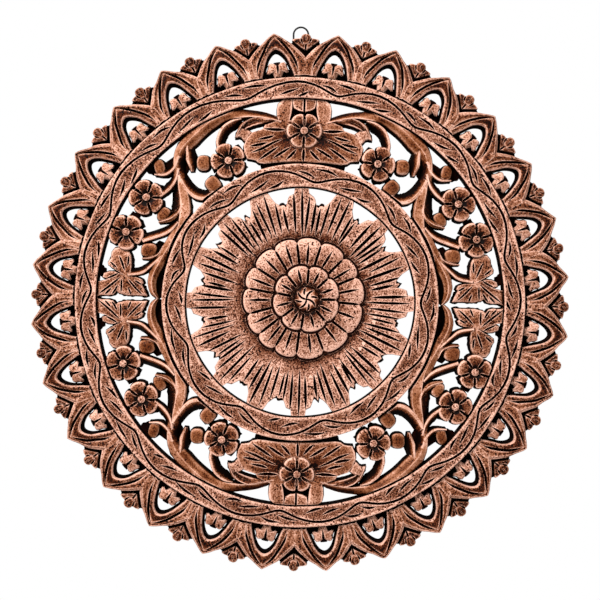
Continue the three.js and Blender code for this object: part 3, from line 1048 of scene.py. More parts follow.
@dataclass(frozen=True)
class Sunburst:
    """Rays around the rosette, blunt and wide ones by turns, with a small ray in every gap."""

    rays: int = 16
    blunt: Outline = ((0, 131.5), (3.2, 131.5), (4.3, 120.5), (6.9, 118.6), (8, 114.5), (9, 110))
    wide: Outline = ((0, 132), (2.8, 131.5), (4.9, 126), (6.3, 117), (7.6, 113), (9, 110))
    small: Sequence[float] = (110.8, 113.6, 113.2, 110.6)
    small_angles: Point = (9.8, 12.7)
    root: float = 71.0
    climb: float = 38.0
    root_height: float = 11.2
    rise: float = 6.8
    heart: Point = (3.9, 4.2)
    # Clock angle from the ray's middle, and the radii where the cut starts and ends
    blunt_cuts: Rows = ((-4.3, 78, 121), (0, 72, 125), (4.1, 75, 121), (8.6, 74, 114))
    wide_cuts: Rows = ((-6.6, 73, 115), (-2.6, 79, 124), (2.5, 73, 125), (7, 75, 115))
    gap_cuts: Rows = ((11.25, 78, 108),)
    # Distance from the rim, step down from the surface and rubbed copper with painted highlight, for the rays
    # and for the wood between them
    ray_rows: Rows = (
        (0, -2.6, 0.9), (0.7, -0.9, 1), (1.8, 0, 0.9), (9, 0.1, 0.55), (18, 0, 0.5), (28, 0, 0.5),
    )
    sawn_rows: Rows = (
        (0, -10, 0), (3.4, -9, 0), (3.8, -2, 0.9), (9, -0.4, 0.6), (18, 0, 0.5), (28, 0, 0.5),
    )
    # Radius, painted shade that darkens the rays towards the rosette, and share of the way to the rosette's
    # middle
    inner_rows: Rows = ((86, 0, 0.3), (79, 0, 0.7), (74.8, 0.16, 1), (70.8, 0.42, 1), (66, 0.9, 1))

    def height(self, x: float, y: float) -> float:
        """Return the rays' height, which sinks towards the rosette.

        Args:
            x: Place on the board.
            y: Place on the board.

        Returns:
            The height.
        """
        reach = math.hypot(x, y)
        share = min(1, max(0, (reach - self.root) / self.climb))
        return self.root_height + self.rise * math.sin(share * math.pi / 2)

    def edge(self, dice: Dice) -> list[tuple[float, float, bool]]:
        """List the outline as clock angles and radii, with a mark on the sawn wood between the rays.

        Args:
            dice: Source of the small differences.

        Returns:
            The outline, clockwise.
        """
        spots = []
        pitch = 360 / self.rays
        start, end = self.small_angles
        for number in range(self.rays):
            half = self.wide if number % 2 else self.blunt
            middle = number * pitch + dice.uniform(-0.5, 0.5)
            swell = dice.uniform(0.93, 1.07)
            left = [(-degrees, radius) for degrees, radius in reversed(half[1:])]
            for degrees, radius in (*left, *half):
                nudge = dice.uniform(-0.8, 0.8) if radius < 130 else 0.0
                spots.append((middle + degrees * swell, radius + nudge, False))
            for place, radius in enumerate(self.small):
                degrees = start + (end - start) * place / (len(self.small) - 1)
                spots.append((number * pitch + degrees, radius + dice.uniform(-1.5, 2.5), True))
        return spots

    def blank(self, dice: Dice) -> Blank:
        """Loft the sunburst from its outline to its root under the rosette.

        Args:
            dice: Source of the small differences.

        Returns:
            The plain sunburst.
        """
        outline = self.edge(dice)
        rings = [[Stop(*clock_point(angle, radius), 0) for angle, radius, _ in outline]]
        for number, rows in enumerate(zip(self.ray_rows, self.sawn_rows)):
            stops = []
            for angle, radius, between in outline:
                inset, drop, rub_and_highlight = rows[between]
                x, y = clock_point(angle, radius - inset)
                # Painted shade: the low sawn wood between the rays is dark at its lowest rows
                stops.append(Stop(x, y, self.height(x, y) + drop, rub_and_highlight, 1 if between and number < 2 else 0))
            rings.append(stops)
        for reach, wash_and_shade, share in self.inner_rows:
            middle = (self.heart[0] * share, self.heart[1] * share)
            spots = [clock_point(angle, reach, middle) for angle, _, _ in outline]
            rings.append([Stop(x, y, self.height(x, y), 0.45, wash_and_shade) for x, y in spots])
        return stack(rings, [[Face.WALL], *[[Face.WORKED]] * (len(rings) - 2)], Face.BACK, Face.WORKED)

    def strokes(self, dice: Dice) -> list[Blank]:
        """Cut the long radial strokes.

        Args:
            dice: Source of the small differences.

        Returns:
            The strokes.
        """
        strokes = []
        pitch = 360 / self.rays
        for number in range(self.rays):
            cuts = [*(self.wide_cuts if number % 2 else self.blunt_cuts), *self.gap_cuts]
            for degrees, low, high in cuts:
                angle = number * pitch + degrees + dice.uniform(-0.6, 0.6)
                tool = Gouge(dice.uniform(1.4, 1.9), dice.uniform(5, 6), 0.3, 1)
                inner = clock_point(angle + dice.uniform(-1.2, 1.2), low + dice.uniform(-3, 5))
                outer = clock_point(angle, high + dice.uniform(-3, 3))
                strokes.append(tool.cut([inner, outer], self.height, 6))
        return strokes

    def carve(self, bench: Bench, dice: Dice) -> Piece:
        """Carve the sunburst."""
        return bench.carve([self.blank(dice)], self.strokes(dice), "sunburst")


@dataclass(frozen=True)
class PetalRow:
    """One row of rosette petals between its cuts."""

    middle: Point
    radius: float
    notch: float
    cuts: Sequence[float]
    foot: float
    ledge: float
    top: float
    inner: float
    inner_top: float
    points: int = 10
    moat: float = 2.5
    pit: float = 9.0
    notch_drop: float = 1.4
    seam: Gouge = Gouge(1.7, 5.4, 0.16, 1)
    vein: Gouge = Gouge(1.6, 5, 0.35, 1)

    def pairs(self) -> list[tuple[float, float]]:
        """Return the cuts on both sides of every petal."""
        following = [*self.cuts[1:], self.cuts[0] + 360]
        return list(zip(self.cuts, following))

    def blank(self) -> Blank:
        """Loft the row from its scalloped edge towards the middle.

        Returns:
            The plain row.
        """
        spots = []
        for cut, following in self.pairs():
            for step in range(self.points):
                share = step / self.points
                bulge = (4 * share * (1 - share)) ** 0.5
                reach = self.notch + (self.radius - self.notch) * bulge
                spots.append((cut + (following - cut) * share, reach, bulge))
        moat = [clock_point(angle, reach + self.moat, self.middle) for angle, reach, _ in spots]
        rings = [[Stop(x, y, self.foot) for x, y in moat], [Stop(x, y, self.ledge, 0, 1) for x, y in moat]]
        # Place from the rim in millimetres for the first five rows, then as a share of the way inwards;
        # painted shade darkens the petals where they run under the next row
        drop = self.ledge + 0.2 - self.top
        rows = (
            (0, drop, 0, 1), (0, -1.7, 0.9, 0), (0.7, -0.9, 1, 0), (1.7, -0.4, 0.95, 0),
            (2.8, 0, 0.8, 0), (0.25, 0.35, 0.68, 0), (0.5, 0.75, 0.54, 0.05), (0.76, 0.85, 0.42, 0.35),
            (1, 0.3, 0.2, 1),
        )
        for number, (place, lift, rub_and_highlight, wash_and_shade) in enumerate(rows):
            edge = number < 5
            lift = self.top + (lift if edge else lift * (self.inner_top - self.top))
            stops = []
            for angle, reach, bulge in spots:
                there = reach - place if edge else reach + (self.inner - reach) * place
                sink = self.notch_drop * (1 - bulge) if number else 0.0
                stops.append(Stop(*clock_point(angle, there, self.middle), lift - sink, rub_and_highlight, wash_and_shade))
            rings.append(stops)
        # The wood under the next row is sunk, so that the cuts in that row stay open
        pit = [clock_point(angle, 0.9 * self.inner, self.middle) for angle, _, _ in spots]
        rings.append([Stop(x, y, self.foot + self.pit, 0, 1) for x, y in pit])
        stain = [Face.STAIN]
        return stack(rings, [stain] * 3 + [[Face.WORKED]] * (len(rows) - 2) + [stain], Face.BACK, Face.STAIN)

    def height(self, x: float, y: float) -> float:
        """Return the row's height.

        Args:
            x: Place on the board.
            y: Place on the board.

        Returns:
            The height.
        """
        reach = math.hypot(x - self.middle[0], y - self.middle[1])
        share = min(1, max(0, (self.radius - reach) / (self.radius - self.inner)))
        return self.top + (self.inner_top - self.top) * min(0.85, 1.4 * share)

    def strokes(self, dice: Dice) -> list[Blank]:
        """Cut the seams between the petals and the vein in each.

        Args:
            dice: Source of the small differences.

        Returns:
            The strokes.
        """
        strokes = []
        depth = self.radius - self.inner
        for cut, following in self.pairs():
            ends = (self.inner - 0.04 * depth, self.notch + 2.4)
            seam = [clock_point(cut, reach, self.middle) for reach in ends]
            strokes.append(self.seam.cut(seam, lambda x, y: self.height(x, y) - 0.5, 6))
            angle = (cut + following) / 2 + dice.uniform(-1.5, 1.5)
            low = self.inner + depth * dice.uniform(-0.08, 0.06)
            high = self.inner + depth * dice.uniform(0.8, 0.9)
            inner = clock_point(angle + dice.uniform(-1, 1), low, self.middle)
            strokes.append(self.vein.cut([inner, clock_point(angle, high, self.middle)], self.height))
        return strokes


@dataclass(frozen=True)
class Rosette:
    """Two rows of petals around a button with curved blades."""

    outer: PetalRow = PetalRow(
        (3.9, 4.2), 67.3, 62, (17, 44, 67, 95, 127, 158, 186, 209, 230, 253, 279, 302, 328, 352),
        0, 13.6, 16.2, 34, 19.3,
    )
    inner: PetalRow = PetalRow(
        (6.7, 4), 37.2, 32.9, (4, 46, 91, 138, 188, 232, 280, 320), 7, 18.4, 19.7, 15.8, 21.7,
    )
    button_middle: Point = (7.3, 3.6)
    button_radius: float = 15.4
    button_top: float = 21.9
    button_fall: float = 3.0
    blades: int = 8
    twist: float = 40.0
    # Share of the outline, height, rubbed copper and dark stain of the button, with painted shade at its foot
    # and painted highlight on top
    steps: Rows = (
        (1.05, 18.6, 0, 1), (0.95, 18.6, 0, 1), (0.88, 19.8, 0.25, 0.5), (0.76, 20.8, 0.4, 0.4),
        (0.62, 21.4, 0.6, 0.1), (0.5, 21.6, 0.95, 0), (0.3, 21.8, 1, 0), (0.06, 21.85, 1, 0),
    )
    tool: Gouge = Gouge(1.25, 3.4, 0.26, 1)

    def button(self) -> Blank:
        """Carve the domed button."""
        outline = [clock_point(360 * k / 40, self.button_radius, self.button_middle) for k in range(40)]
        return mound(outline, self.button_middle, self.steps, 9).satin(0.6)

    def blade_strokes(self) -> list[Blank]:
        """Cut the curved strokes between the button's blades, long and short ones by turns.

        Returns:
            The strokes.
        """
        strokes = []
        for number in range(self.blades):
            angle = 360 * number / self.blades - self.twist / 8
            start, end = (-1.4, 13.4) if number % 2 else (5, 13)
            route = []
            for reach in (start + (end - start) * step / 3 for step in range(4)):
                bend = self.twist * (1 - max(0, reach) / end)
                route.append(clock_point(angle - bend, reach, self.button_middle))
            strokes.append(self.tool.cut(route, self.button_height, 8))
        return strokes

    def button_height(self, x: float, y: float) -> float:
        """Return the button's height at a point of it."""
        reach = math.hypot(x - self.button_middle[0], y - self.button_middle[1]) / self.button_radius
        return self.button_top - self.button_fall * min(1, reach) ** 3

    def carve(self, bench: Bench, dice: Dice) -> Piece:
        """Carve the rosette.

        Args:
            bench: Where the pieces are made.
            dice: Source of the small differences.

        Returns:
            The rosette.
        """
        lower = bench.carve([self.outer.blank()], self.outer.strokes(dice), "rosette")
        upper = bench.carve([self.inner.blank()], self.inner.strokes(dice), "rosette_inner")
        button = bench.carve([self.button()], self.blade_strokes(), "rosette_button")
        return bench.work(lower, [upper, button], "UNION")


@dataclass(frozen=True)
class Flower:
    """Blunt petals around a button."""

    middle: Point
    petals: int = 5
    turn: float = 0.0
    radius: float = 19.8
    notch: float = 14.6
    top: float = 20.0
    button: float = 4.3
    points: int = 9
    bluntness: float = 0.34
    skirt: float = 1.3
    rough: float = 5.0
    ledge: float = 8.5
    seam_drop: float = 1.6
    button_foot: float = 10.0
    seam: Gouge = Gouge(1.3, 5, 0.16)
    # Share of the way out, lift from the top, rubbed copper and dark stain, with painted shade in the dip
    # around the button and at its foot
    rows: Rows = (
        (1, -3, 0.6, 0.3), (0.98, -1.5, 1, 0), (0.93, -0.6, 1, 0), (0.84, -0.3, 0.5, 0.1),
        (0.66, 0, 0.35, 0.2), (0.48, -0.3, 0.3, 0.35), (0.34, -1.7, 0.1, 0.8), (0.22, -2.6, 0, 1),
    )
    button_steps: Rows = (
        (1, 18.4, 0.3, 0.9), (0.94, 19.8, 0.7, 0), (0.6, 20.9, 0.62, 0), (0.25, 21.2, 0.6, 0),
    )

    def blanks(self) -> list[Blank]:
        """Loft the petals and the button.

        Returns:
            Both pieces.
        """
        pitch = 360 / self.petals
        spots = []
        for petal in range(self.petals):
            for step in range(self.points):
                share = step / self.points
                bulge = (4 * share * (1 - share)) ** self.bluntness
                reach = self.notch + (self.radius - self.notch) * bulge
                spots.append((self.turn + (petal - 0.5 + share) * pitch, reach, bulge))
        edge = [clock_point(angle, reach, self.middle) for angle, reach, _ in spots]
        sawn = ragged(edge, self.skirt, self.rough)
        rings = [[Stop(x, y, 0) for x, y in sawn], [Stop(x, y, self.ledge, 0, 1) for x, y in sawn]]
        for share, lift, rub_and_highlight, wash_and_shade in self.rows:
            stops = []
            for angle, reach, bulge in spots:
                side = (1 - bulge) * min(1, 2 * share)
                spot = clock_point(angle, reach * share, self.middle)
                rubbed_and_lit = rub_and_highlight + (0.9 - rub_and_highlight) * 0.6 * side
                stops.append(Stop(*spot, self.top + lift - self.seam_drop * side, rubbed_and_lit, wash_and_shade))
            rings.append(stops)
        skins = [[Face.WALL]] * 2 + [[Face.WORKED]] * (len(self.rows) - 1)
        outline = [clock_point(30 * k, self.button, self.middle) for k in range(12)]
        petals = stack(rings, skins, Face.BACK, Face.WORKED).satin(0.35)
        return [petals, mound(outline, self.middle, self.button_steps, self.button_foot)]

    def strokes(self) -> list[Blank]:
        """Cut the seams between the petals.

        Returns:
            The strokes.
        """
        reaches = (self.button + 0.4, self.notch + 2.4)
        strokes = []
        for petal in range(self.petals):
            angle = self.turn + (petal - 0.5) * 360 / self.petals
            route = [clock_point(angle, reach, self.middle) for reach in reaches]
            strokes.append(self.seam.cut(route, self.top - self.seam_drop, 5))
        return strokes


@dataclass(frozen=True)
class Fan:
    """A fan leaf with veins, its tabs at the ring and the flower that it spreads from."""

    flower: Flower = Flower((0.6, 192.2), 6, 30)
    half: Outline = (
        (0, 157), (22, 156.9), (43.3, 155), (49.6, 156), (53.4, 158.8), (62.2, 160), (65.6, 166.6),
        (66.4, 174.4), (63.2, 182.2), (57.6, 189.4), (45.6, 193.4), (43, 198), (29, 203.6), (15, 203.8),
        (0, 205.6),
    )
    # Edge and middle of the tabs that join the leaf to the ring, and of the low black wood behind it, whose
    # black also stands for shade
    tabs: Sequence[tuple[Point, Outline]] = (
        ((6.6, 222), ((0.9, 230), (12.2, 230), (13.4, 224), (12, 217.6), (6.4, 214.4), (0.9, 213.4))),
        ((21.4, 213), (
            (13.2, 229.5), (22.5, 228), (29.2, 222.5), (30.6, 216), (30.2, 207), (27.6, 200), (17, 199.6),
            (14.4, 209), (13.2, 219),
        )),
    )
    webs: Sequence[tuple[Point, Outline]] = (
        ((0, 214), ((0, 230), (22, 229), (20, 200), (0, 200))),
        ((0, 156), ((0, 150), (40, 147), (47, 151), (49, 160), (0, 162))),
    )
    web_height: float = 5.0
    # Veins of one half, from the flower's middle
    veins: Sequence[Outline] = (
        ((21, 0.4), (32, 0), (45, 0.8)),
        ((33, -5.6), (40.4, -8), (52.4, -10.4)),
        ((40.6, -13.2), (50, -15.6), (60.3, -17.5)),
        ((21.6, -8), (34, -13.2), (47.1, -20), (59.4, -24.8)),
        ((26.8, -17.2), (38.3, -24.8), (50.7, -33.4)),
        ((13.8, -18.8), (23.9, -25.2), (33.4, -31.4)),
        ((7.6, -21.2), (12.8, -27.6), (18.5, -33)),
    )
    waver: float = 0.5
    tool: Gouge = Gouge(1.55, 4.4, 0.3, 1)
    # Share of the outline, height, rubbed copper and dark stain, with painted shade darkening the leaf
    # towards the flower
    steps: Rows = (
        (1, 14.6, 0.9, 0), (0.99, 16.2, 1, 0), (0.96, 17, 0.6, 0), (0.85, 17.2, 0.35, 0.05),
        (0.6, 16.8, 0.3, 0.1), (0.42, 15.8, 0.25, 0.25), (0.3, 14.6, 0.2, 0.6),
    )
    tab_steps: Rows = ((1, 14.6, 0.6, 0), (0.93, 16.8, 1, 0), (0.6, 17.6, 0.5, 0), (0.25, 17.8, 0.45, 0))

    def height(self, x: float, y: float) -> float:
        """Return the leaf's height, which sinks under the flower."""
        reach = math.hypot(x - self.flower.middle[0], (y - self.flower.middle[1]) * 1.3)
        return 14.4 + 2.6 * min(1, max(0, (reach - 15) / 22))

    def carve(self, bench: Bench, dice: Dice) -> Piece:
        """Carve the fan.

        Args:
            bench: Where the pieces are made.
            dice: Source of the small differences.

        Returns:
            The fan.
        """
        middle = self.flower.middle
        leaf = mound(mirrored(self.half), middle, self.steps, pitch=3.0, skirt=0.8, rough=2.0)
        pieces = [leaf.satin(0.5)]
        for side in (1, -1):
            for (x, y), outline in self.tabs:
                edge = [(spot[0] * side, spot[1]) for spot in outline]
                tab = mound(edge, (x * side, y), self.tab_steps, pitch=3.0, skirt=0.6)
                pieces.append(tab.satin(0.4))
        pieces += [sunk(mirrored(outline), heart, self.web_height) for heart, outline in self.webs]
        strokes = [self.tool.cut([(middle[0], 156.5), (middle[0] + 0.6, 173)], self.height, 4)]
        for side in (1, -1):
            for vein in self.veins:
                shift = dice.uniform(-self.waver, self.waver)
                route = [(middle[0] + (x + shift) * side, middle[1] + y + shift) for x, y in vein]
                strokes.append(self.tool.cut(route, self.height))
        leaf = bench.carve(pieces, strokes, "fan")
        flower = bench.carve(self.flower.blanks(), self.flower.strokes(), "fan_flower")
        return bench.work(leaf, [flower], "UNION")


class Profile(Enum):
    """Sections of the vine's strands from left to right: place across, height, rubbed copper and dark stain;
    low sides carry painted shade, crests painted highlight.
    """

    ROUND = (
        (-1, 13.6, 0.3, 0.3), (-0.86, 16.2, 0.8, 0), (-0.45, 18.5, 0.5, 0), (0, 19.6, 0.6, 0),
        (0.45, 18.2, 0.35, 0.15), (0.86, 16, 0.7, 0), (1, 13.6, 0.3, 0.3),
    )
    SCOOP = (
        (-1, 17, 0.7, 0), (-0.88, 18.8, 1, 0), (-0.62, 17.6, 0.4, 0.2), (0, 15.6, 0.2, 0.5),
        (0.62, 17.6, 0.4, 0.2), (0.88, 18.8, 1, 0), (1, 17, 0.7, 0),
    )
    # Painted highlight on the high left side, painted shade on the low right side
    LEAN_LEFT = (
        (-1, 16.4, 0.6, 0), (-0.84, 18.6, 1, 0), (-0.45, 19, 0.75, 0), (-0.05, 17.2, 0.35, 0.2),
        (0.4, 14.2, 0.1, 0.55), (0.8, 11.8, 0.05, 0.8), (1, 10, 0.05, 1),
    )
    LEAN_RIGHT = tuple((-across, *wear_and_light) for across, *wear_and_light in reversed(LEAN_LEFT))
    BROAD = (
        (-1, 9, 0.05, 0.7), (-0.7, 11.5, 0.15, 0.5), (-0.28, 13.6, 0.2, 0.4), (-0.1, 17.8, 0.9, 0),
        (0.3, 18.8, 0.6, 0), (0.86, 18.2, 0.65, 0), (1, 16.4, 0.7, 0),
    )
    RIM_RIGHT = (
        (-1, 14, 0.1, 0.6), (-0.85, 14.2, 0.1, 0.5), (-0.4, 14.8, 0.2, 0.35), (0.1, 16.2, 0.3, 0.15),
        (0.6, 18.2, 0.7, 0), (0.86, 18.9, 1, 0), (1, 17.2, 0.8, 0),
    )


ROUND, SCOOP, LEAN_LEFT, LEAN_RIGHT, BROAD, RIM_RIGHT = Profile


@dataclass(frozen=True)
class Strand:
    """A carved strand: its route, half widths and sections from end to end."""

    route: Outline
    widths: Sequence[float]
    profiles: Sequence[Profile]
    steps: int = 14
    satin: float = 0.8
    skirt: float = 0.9
    ledge: float = 7.0
    rough: float = 2.2
    stray_size: float = 4.0
    stray_level: float = 0.15
    full_width: float = 3.0
    thin_height: float = 0.8

    def blank(self) -> Blank:
        """Loft the strand.

        Returns:
            The strand.
        """
        spots = smooth(self.route, self.steps)
        profiles = [profile.value for profile in self.profiles] * (2 if len(self.profiles) == 1 else 1)
        sections = []
        for number, (spot, travel) in enumerate(zip(spots, tangents(spots))):
            share = number / self.steps
            across = Vector((-travel.y, travel.x))
            width = along([(width,) for width in self.widths], share)[0]
            place = share * (len(profiles) - 1)
            low = min(int(place), len(profiles) - 2)
            shrink = self.thin_height + (1 - self.thin_height) * min(1, width / self.full_width)
            stray = max(0, noise.noise((*spot / self.stray_size, 9)) - self.stray_level)
            foot = across * (width + self.skirt + self.rough * stray)
            stops = [Stop(*(spot + foot), 0), Stop(*(spot + foot), self.ledge, 0, 1)]
            for left, right in zip(profiles[low], profiles[low + 1]):
                reach, height, rub_and_highlight, wash_and_shade = blend(left, right, place - low)
                stops.append(Stop(*(spot - across * width * reach), height * shrink, rub_and_highlight, wash_and_shade))
            stops += [Stop(*(spot - foot), self.ledge, 0, 1), Stop(*(spot - foot), 0)]
            sections.append(stops)
        wall = [Face.WALL] * 2
        return loft(sections, [*wall, *[Face.WORKED] * 6, *wall, Face.BACK]).satin(self.satin)


@dataclass(frozen=True)
class Bud:
    """An egg-shaped bud."""

    middle: Point
    across: float
    length: float
    turn: float
    top: float = 18.2
    corners: int = 17
    # Share of the outline, height from the top, rubbed copper and dark stain with painted highlight and shade
    steps: Rows = (
        (1, -5.5, 0.7, 0.1), (0.94, -3, 1, 0), (0.82, -1.6, 0.7, 0), (0.6, -0.5, 0.45, 0.1),
        (0.34, 0, 0.4, 0.1), (0.12, 0.2, 0.4, 0.1),
    )

    def blank(self) -> Blank:
        """Carve the bud.

        Returns:
            The bud.
        """
        outline = []
        for number in range(self.corners):
            angle = 2 * math.pi * number / self.corners
            x = math.copysign(abs(math.sin(angle)) ** 0.75, math.sin(angle)) * self.across
            y = math.copysign(abs(math.cos(angle)) ** 0.75, math.cos(angle)) * self.length
            dx, dy = turned((x, y), self.turn)
            outline.append((self.middle[0] + dx, self.middle[1] + dy))
        steps = [(share, self.top + lift, *wear_and_light) for share, lift, *wear_and_light in self.steps]
        return mound(outline, self.middle, steps, skirt=1.1, rough=3.5).satin(0.9)


@dataclass(frozen=True)
class SideLeaf:
    """A lobed leaf whose veins run out from a hub."""

    hub: Point = (195, 25.8)
    top: float = 17.8
    fall: float = 1.6
    reach: float = 34.0
    outline: Outline = (
        (189.8, 29), (189.4, 36), (189.6, 42.4), (190.6, 49), (193.4, 54.4), (202.1, 58.6), (208.5, 57.4),
        (212.4, 52.4), (213.2, 45.4), (216.4, 40.9), (216, 37.8), (208.8, 33.8), (202.6, 29.6), (202.4, 28.4),
        (208.9, 30.6), (215, 30), (220.5, 27.7), (221.8, 23.1), (217, 21), (219.5, 19.4), (228.5, 17.9),
        (228.5, 1.8), (222.1, 3.6), (214.5, 3.2), (209.3, 4.4), (206, 8.6), (203, 6), (200.4, 5.6),
        (193.4, 4), (189, 4.4), (183.9, 4.4), (175.5, 4.3), (171, 4), (172.9, 8.9), (177.2, 16.7),
        (175.3, 18.6), (177.1, 22.4), (181, 24.4), (187.4, 25.4),
    )
    veins: Sequence[Outline] = (
        ((196.3, 31.7), (199.6, 40), (203.6, 49.1)), ((193.5, 36.6), (192.9, 43), (192.9, 48.9)),
        ((205.3, 34.6), (209.6, 38), (213.9, 41.6)), ((200.5, 24.8), (212, 15), (226.4, 3.9)),
        ((203.9, 15.6), (207, 9.6), (210.9, 4.4)), ((210.8, 12), (215, 7.6), (218.6, 4.2)),
        ((199.6, 22.6), (200, 14), (200.4, 6)), ((192.5, 22.9), (184.6, 13.6), (175.2, 4.6)),
        ((192.4, 14), (190, 8), (188.5, 3.6)), ((185, 21.2), (181, 19), (176.6, 16)),
        ((203, 29.2), (209, 25.6), (218, 21.4)),
    )
    tool: Gouge = Gouge(1.3, 4.4, 0.26, 1)
    steps: Rows = (
        (1, 13, 0.7, 0), (0.97, 15, 1, 0), (0.9, 16.2, 0.6, 0), (0.6, 16.8, 0.28, 0.1),
        (0.3, 17.4, 0.25, 0.1), (0.1, 17.9, 0.6, 0),
    )

    def height(self, x: float, y: float) -> float:
        """Return the leaf's height, highest at its hub."""
        return self.top - self.fall * min(1, math.hypot(x - self.hub[0], y - self.hub[1]) / self.reach)

    def carve(self, bench: Bench) -> Piece:
        """Carve the leaf.

        Args:
            bench: Where the pieces are made.

        Returns:
            The leaf.
        """
        strokes = [self.tool.cut(vein, self.height, 5) for vein in self.veins]
        leaf = mound(self.outline, self.hub, self.steps, pitch=3.2, skirt=1.2, rough=2.5)
        return bench.carve([leaf.satin(0.4)], strokes, "side_leaf")


@dataclass(frozen=True)
class Vine:
    """One quarter of the vine, drawn at the upper right."""

    strands: Sequence[Strand] = (
        Strand(
            ((26.7, 201.7), (44.4, 207.3), (64.4, 209.4), (88.9, 207.2), (108.9, 195.6), (125.6, 180),
             (137, 165.6), (139.4, 150), (138.6, 130), (135.8, 113), (135.4, 98), (136.8, 86),
             (139.6, 76), (144.6, 65.5), (150.2, 55), (157.4, 42), (163.4, 31), (166, 20),
             (164.4, 9), (159, 1)),
            (2.2, 3.6, 4.4, 7.8, 8.3, 8.9, 7, 6, 7.2, 9.8, 11.2, 9.4, 7.8, 6.8, 6.5, 6.2, 5.6, 5, 4, 1.4),
            (*[RIM_RIGHT] * 3, *[ROUND] * 4, LEAN_LEFT, *[BROAD] * 4, *[ROUND] * 8), 80,
        ),
        Strand(((131.5, 177), (127.6, 168), (125.8, 156), (124.4, 143.4)), (0.6, 4.2, 5.6, 1.4),
               (ROUND, LEAN_LEFT, LEAN_LEFT, ROUND)),
        Strand(((32.8, 202.1), (43.8, 202.4), (54.9, 201), (63, 197.6), (67.5, 193.4)),
               (1.6, 3.4, 4.5, 4.3, 2.4), (ROUND, ROUND, SCOOP, SCOOP, SCOOP), satin=0.4),
        Strand(((58.8, 203), (67.7, 198.4), (72.2, 191.4), (75.9, 182.7)), (1.2, 2.2, 2.3, 1.4),
               (ROUND,), 12),
        Strand(((70.8, 202.6), (79.9, 197.8), (88.2, 191.2), (91.9, 184.2), (93.9, 176.6), (93, 170)),
               (1.5, 4.3, 4.6, 4.4, 4.3, 4), (LEAN_LEFT,), 18, 0.4),
        Strand(((136.6, 140), (128.6, 128), (119.5, 119.6), (109.5, 117.4), (99, 122.4)),
               (4.6, 5.6, 6.6, 6.4, 4.4), (LEAN_LEFT,), 18),
        Strand(((140.6, 160), (145.6, 148.3), (154.4, 141.2), (166.1, 140)), (2.9, 3.6, 3.6, 1.6),
               (LEAN_RIGHT,)),
        Strand(((140.6, 146), (144.5, 134), (151.5, 125), (160.5, 117)), (2.6, 4, 4.6, 3.6), (LEAN_RIGHT,)),
        Strand(((136.6, 113), (138, 101.1), (145.6, 90.6), (160.6, 86)), (2.2, 3, 3.4, 1.2),
               (LEAN_RIGHT, LEAN_RIGHT, ROUND, ROUND)),
        Strand(((139.5, 87), (148, 79.4), (158, 74.2), (178, 67.4)), (2.6, 4.4, 4.8, 4.8), (LEAN_RIGHT,)),
        Strand(((156.6, 49.6), (170, 38), (179, 32.2), (193, 29.4)), (3, 3.6, 4.2, 3.6), (LEAN_RIGHT,), 12),
        Strand(((155, 60), (159.5, 52), (166.5, 46.6), (178, 45.6)), (1, 2.2, 2.4, 1),
               (LEAN_RIGHT, LEAN_RIGHT, ROUND, ROUND), 12),
    )
    buds: Sequence[Bud] = (
        Bud((112.2, 153.2), 7.6, 8.4, 0), Bud((100.2, 129.6), 8, 9.4, 40),
        Bud((160.7, 147), 5.8, 9.2, 15), Bud((155, 94.8), 6.4, 8.4, -30), Bud((170.2, 54.6), 8.2, 9, 80),
    )
    cup: Outline = (
        (58.3, 188.6), (63.5, 192.2), (70.3, 193.2), (74.6, 188.2), (77, 182), (73, 183.1), (70, 182),
        (67.6, 179), (64.9, 176.9), (61.2, 182.4),
    )
    cup_heart: Point = (68.2, 186.4)
    cup_steps: Rows = (
        (1, 12.6, 0.6, 0), (0.95, 15.2, 1, 0), (0.8, 16.6, 0.7, 0), (0.4, 17.4, 0.6, 0), (0.1, 17.6, 0.6, 0),
    )
    flowers: Sequence[Flower] = (
        Flower((84.4, 155.9), 5, 22), Flower((174.4, 113.3), 5, 18), Flower((195.6, 74.4), 5, 36),
    )
    # Low wood stained black that ties the pieces together; its black also stands for the shade between them
    ties: Sequence[Outline] = (
        ((62.7, 151.1), (77.2, 139.3), (82.8, 145.5), (70.5, 155.6)),
        ((92.9, 141), (101, 118), (109.6, 121.3), (98.5, 143.3)),
        ((164.5, 154.4), (171.2, 157.8), (179.1, 147.7), (174.6, 141), (166, 140)),
        ((177.1, 129.8), (185.8, 136.5), (199.1, 121.8), (190.3, 113.3)),
        ((203.8, 90.8), (213.5, 97.3), (219.1, 81.6), (209.3, 76.3)),
        ((219.4, 33.6), (229.3, 37.9), (229.4, 27.1), (219.6, 21.4)),
        ((130.5, 168), (136.6, 160), (138, 145.1), (133, 138), (128.3, 147.6)),
        ((143, 162), (160, 150), (154, 141), (145, 147)),
        ((138, 141), (146, 140), (150, 126), (139, 116), (135, 128)),
        ((182, 94), (190, 98), (196, 90), (186, 84)),
        ((151, 62), (160, 66), (166, 60), (158, 50)),
        ((120, 160), (119, 150), (126, 148), (126, 164)),
        ((150, 50), (158, 42), (163, 28), (163, 14), (157, 3), (150, 6), (148, 30)),
    )
    tie_height: float = 7.5
    leaf: SideLeaf = SideLeaf()

    def carve(self, bench: Bench) -> Piece:
        """Carve the quarter.

        Args:
            bench: Where the pieces are made.

        Returns:
            The quarter.
        """
        pieces = [strand.blank() for strand in self.strands] + [bud.blank() for bud in self.buds]
        cup = mound(self.cup, self.cup_heart, self.cup_steps, pitch=2.5, skirt=0.9)
        pieces.append(cup.satin(0.2))
        for tie in self.ties:
            heart = (sum(x for x, _ in tie) / len(tie), sum(y for _, y in tie) / len(tie))
            pieces.append(sunk(tie, heart, self.tie_height, pitch=3.4, rough=3.5))
        vine = bench.carve(pieces, [], "vine")
        parts = [self.leaf.carve(bench)]
        parts += [bench.carve(flower.blanks(), flower.strokes(), "flower") for flower in self.flowers]
        return bench.work(vine, parts, "UNION")


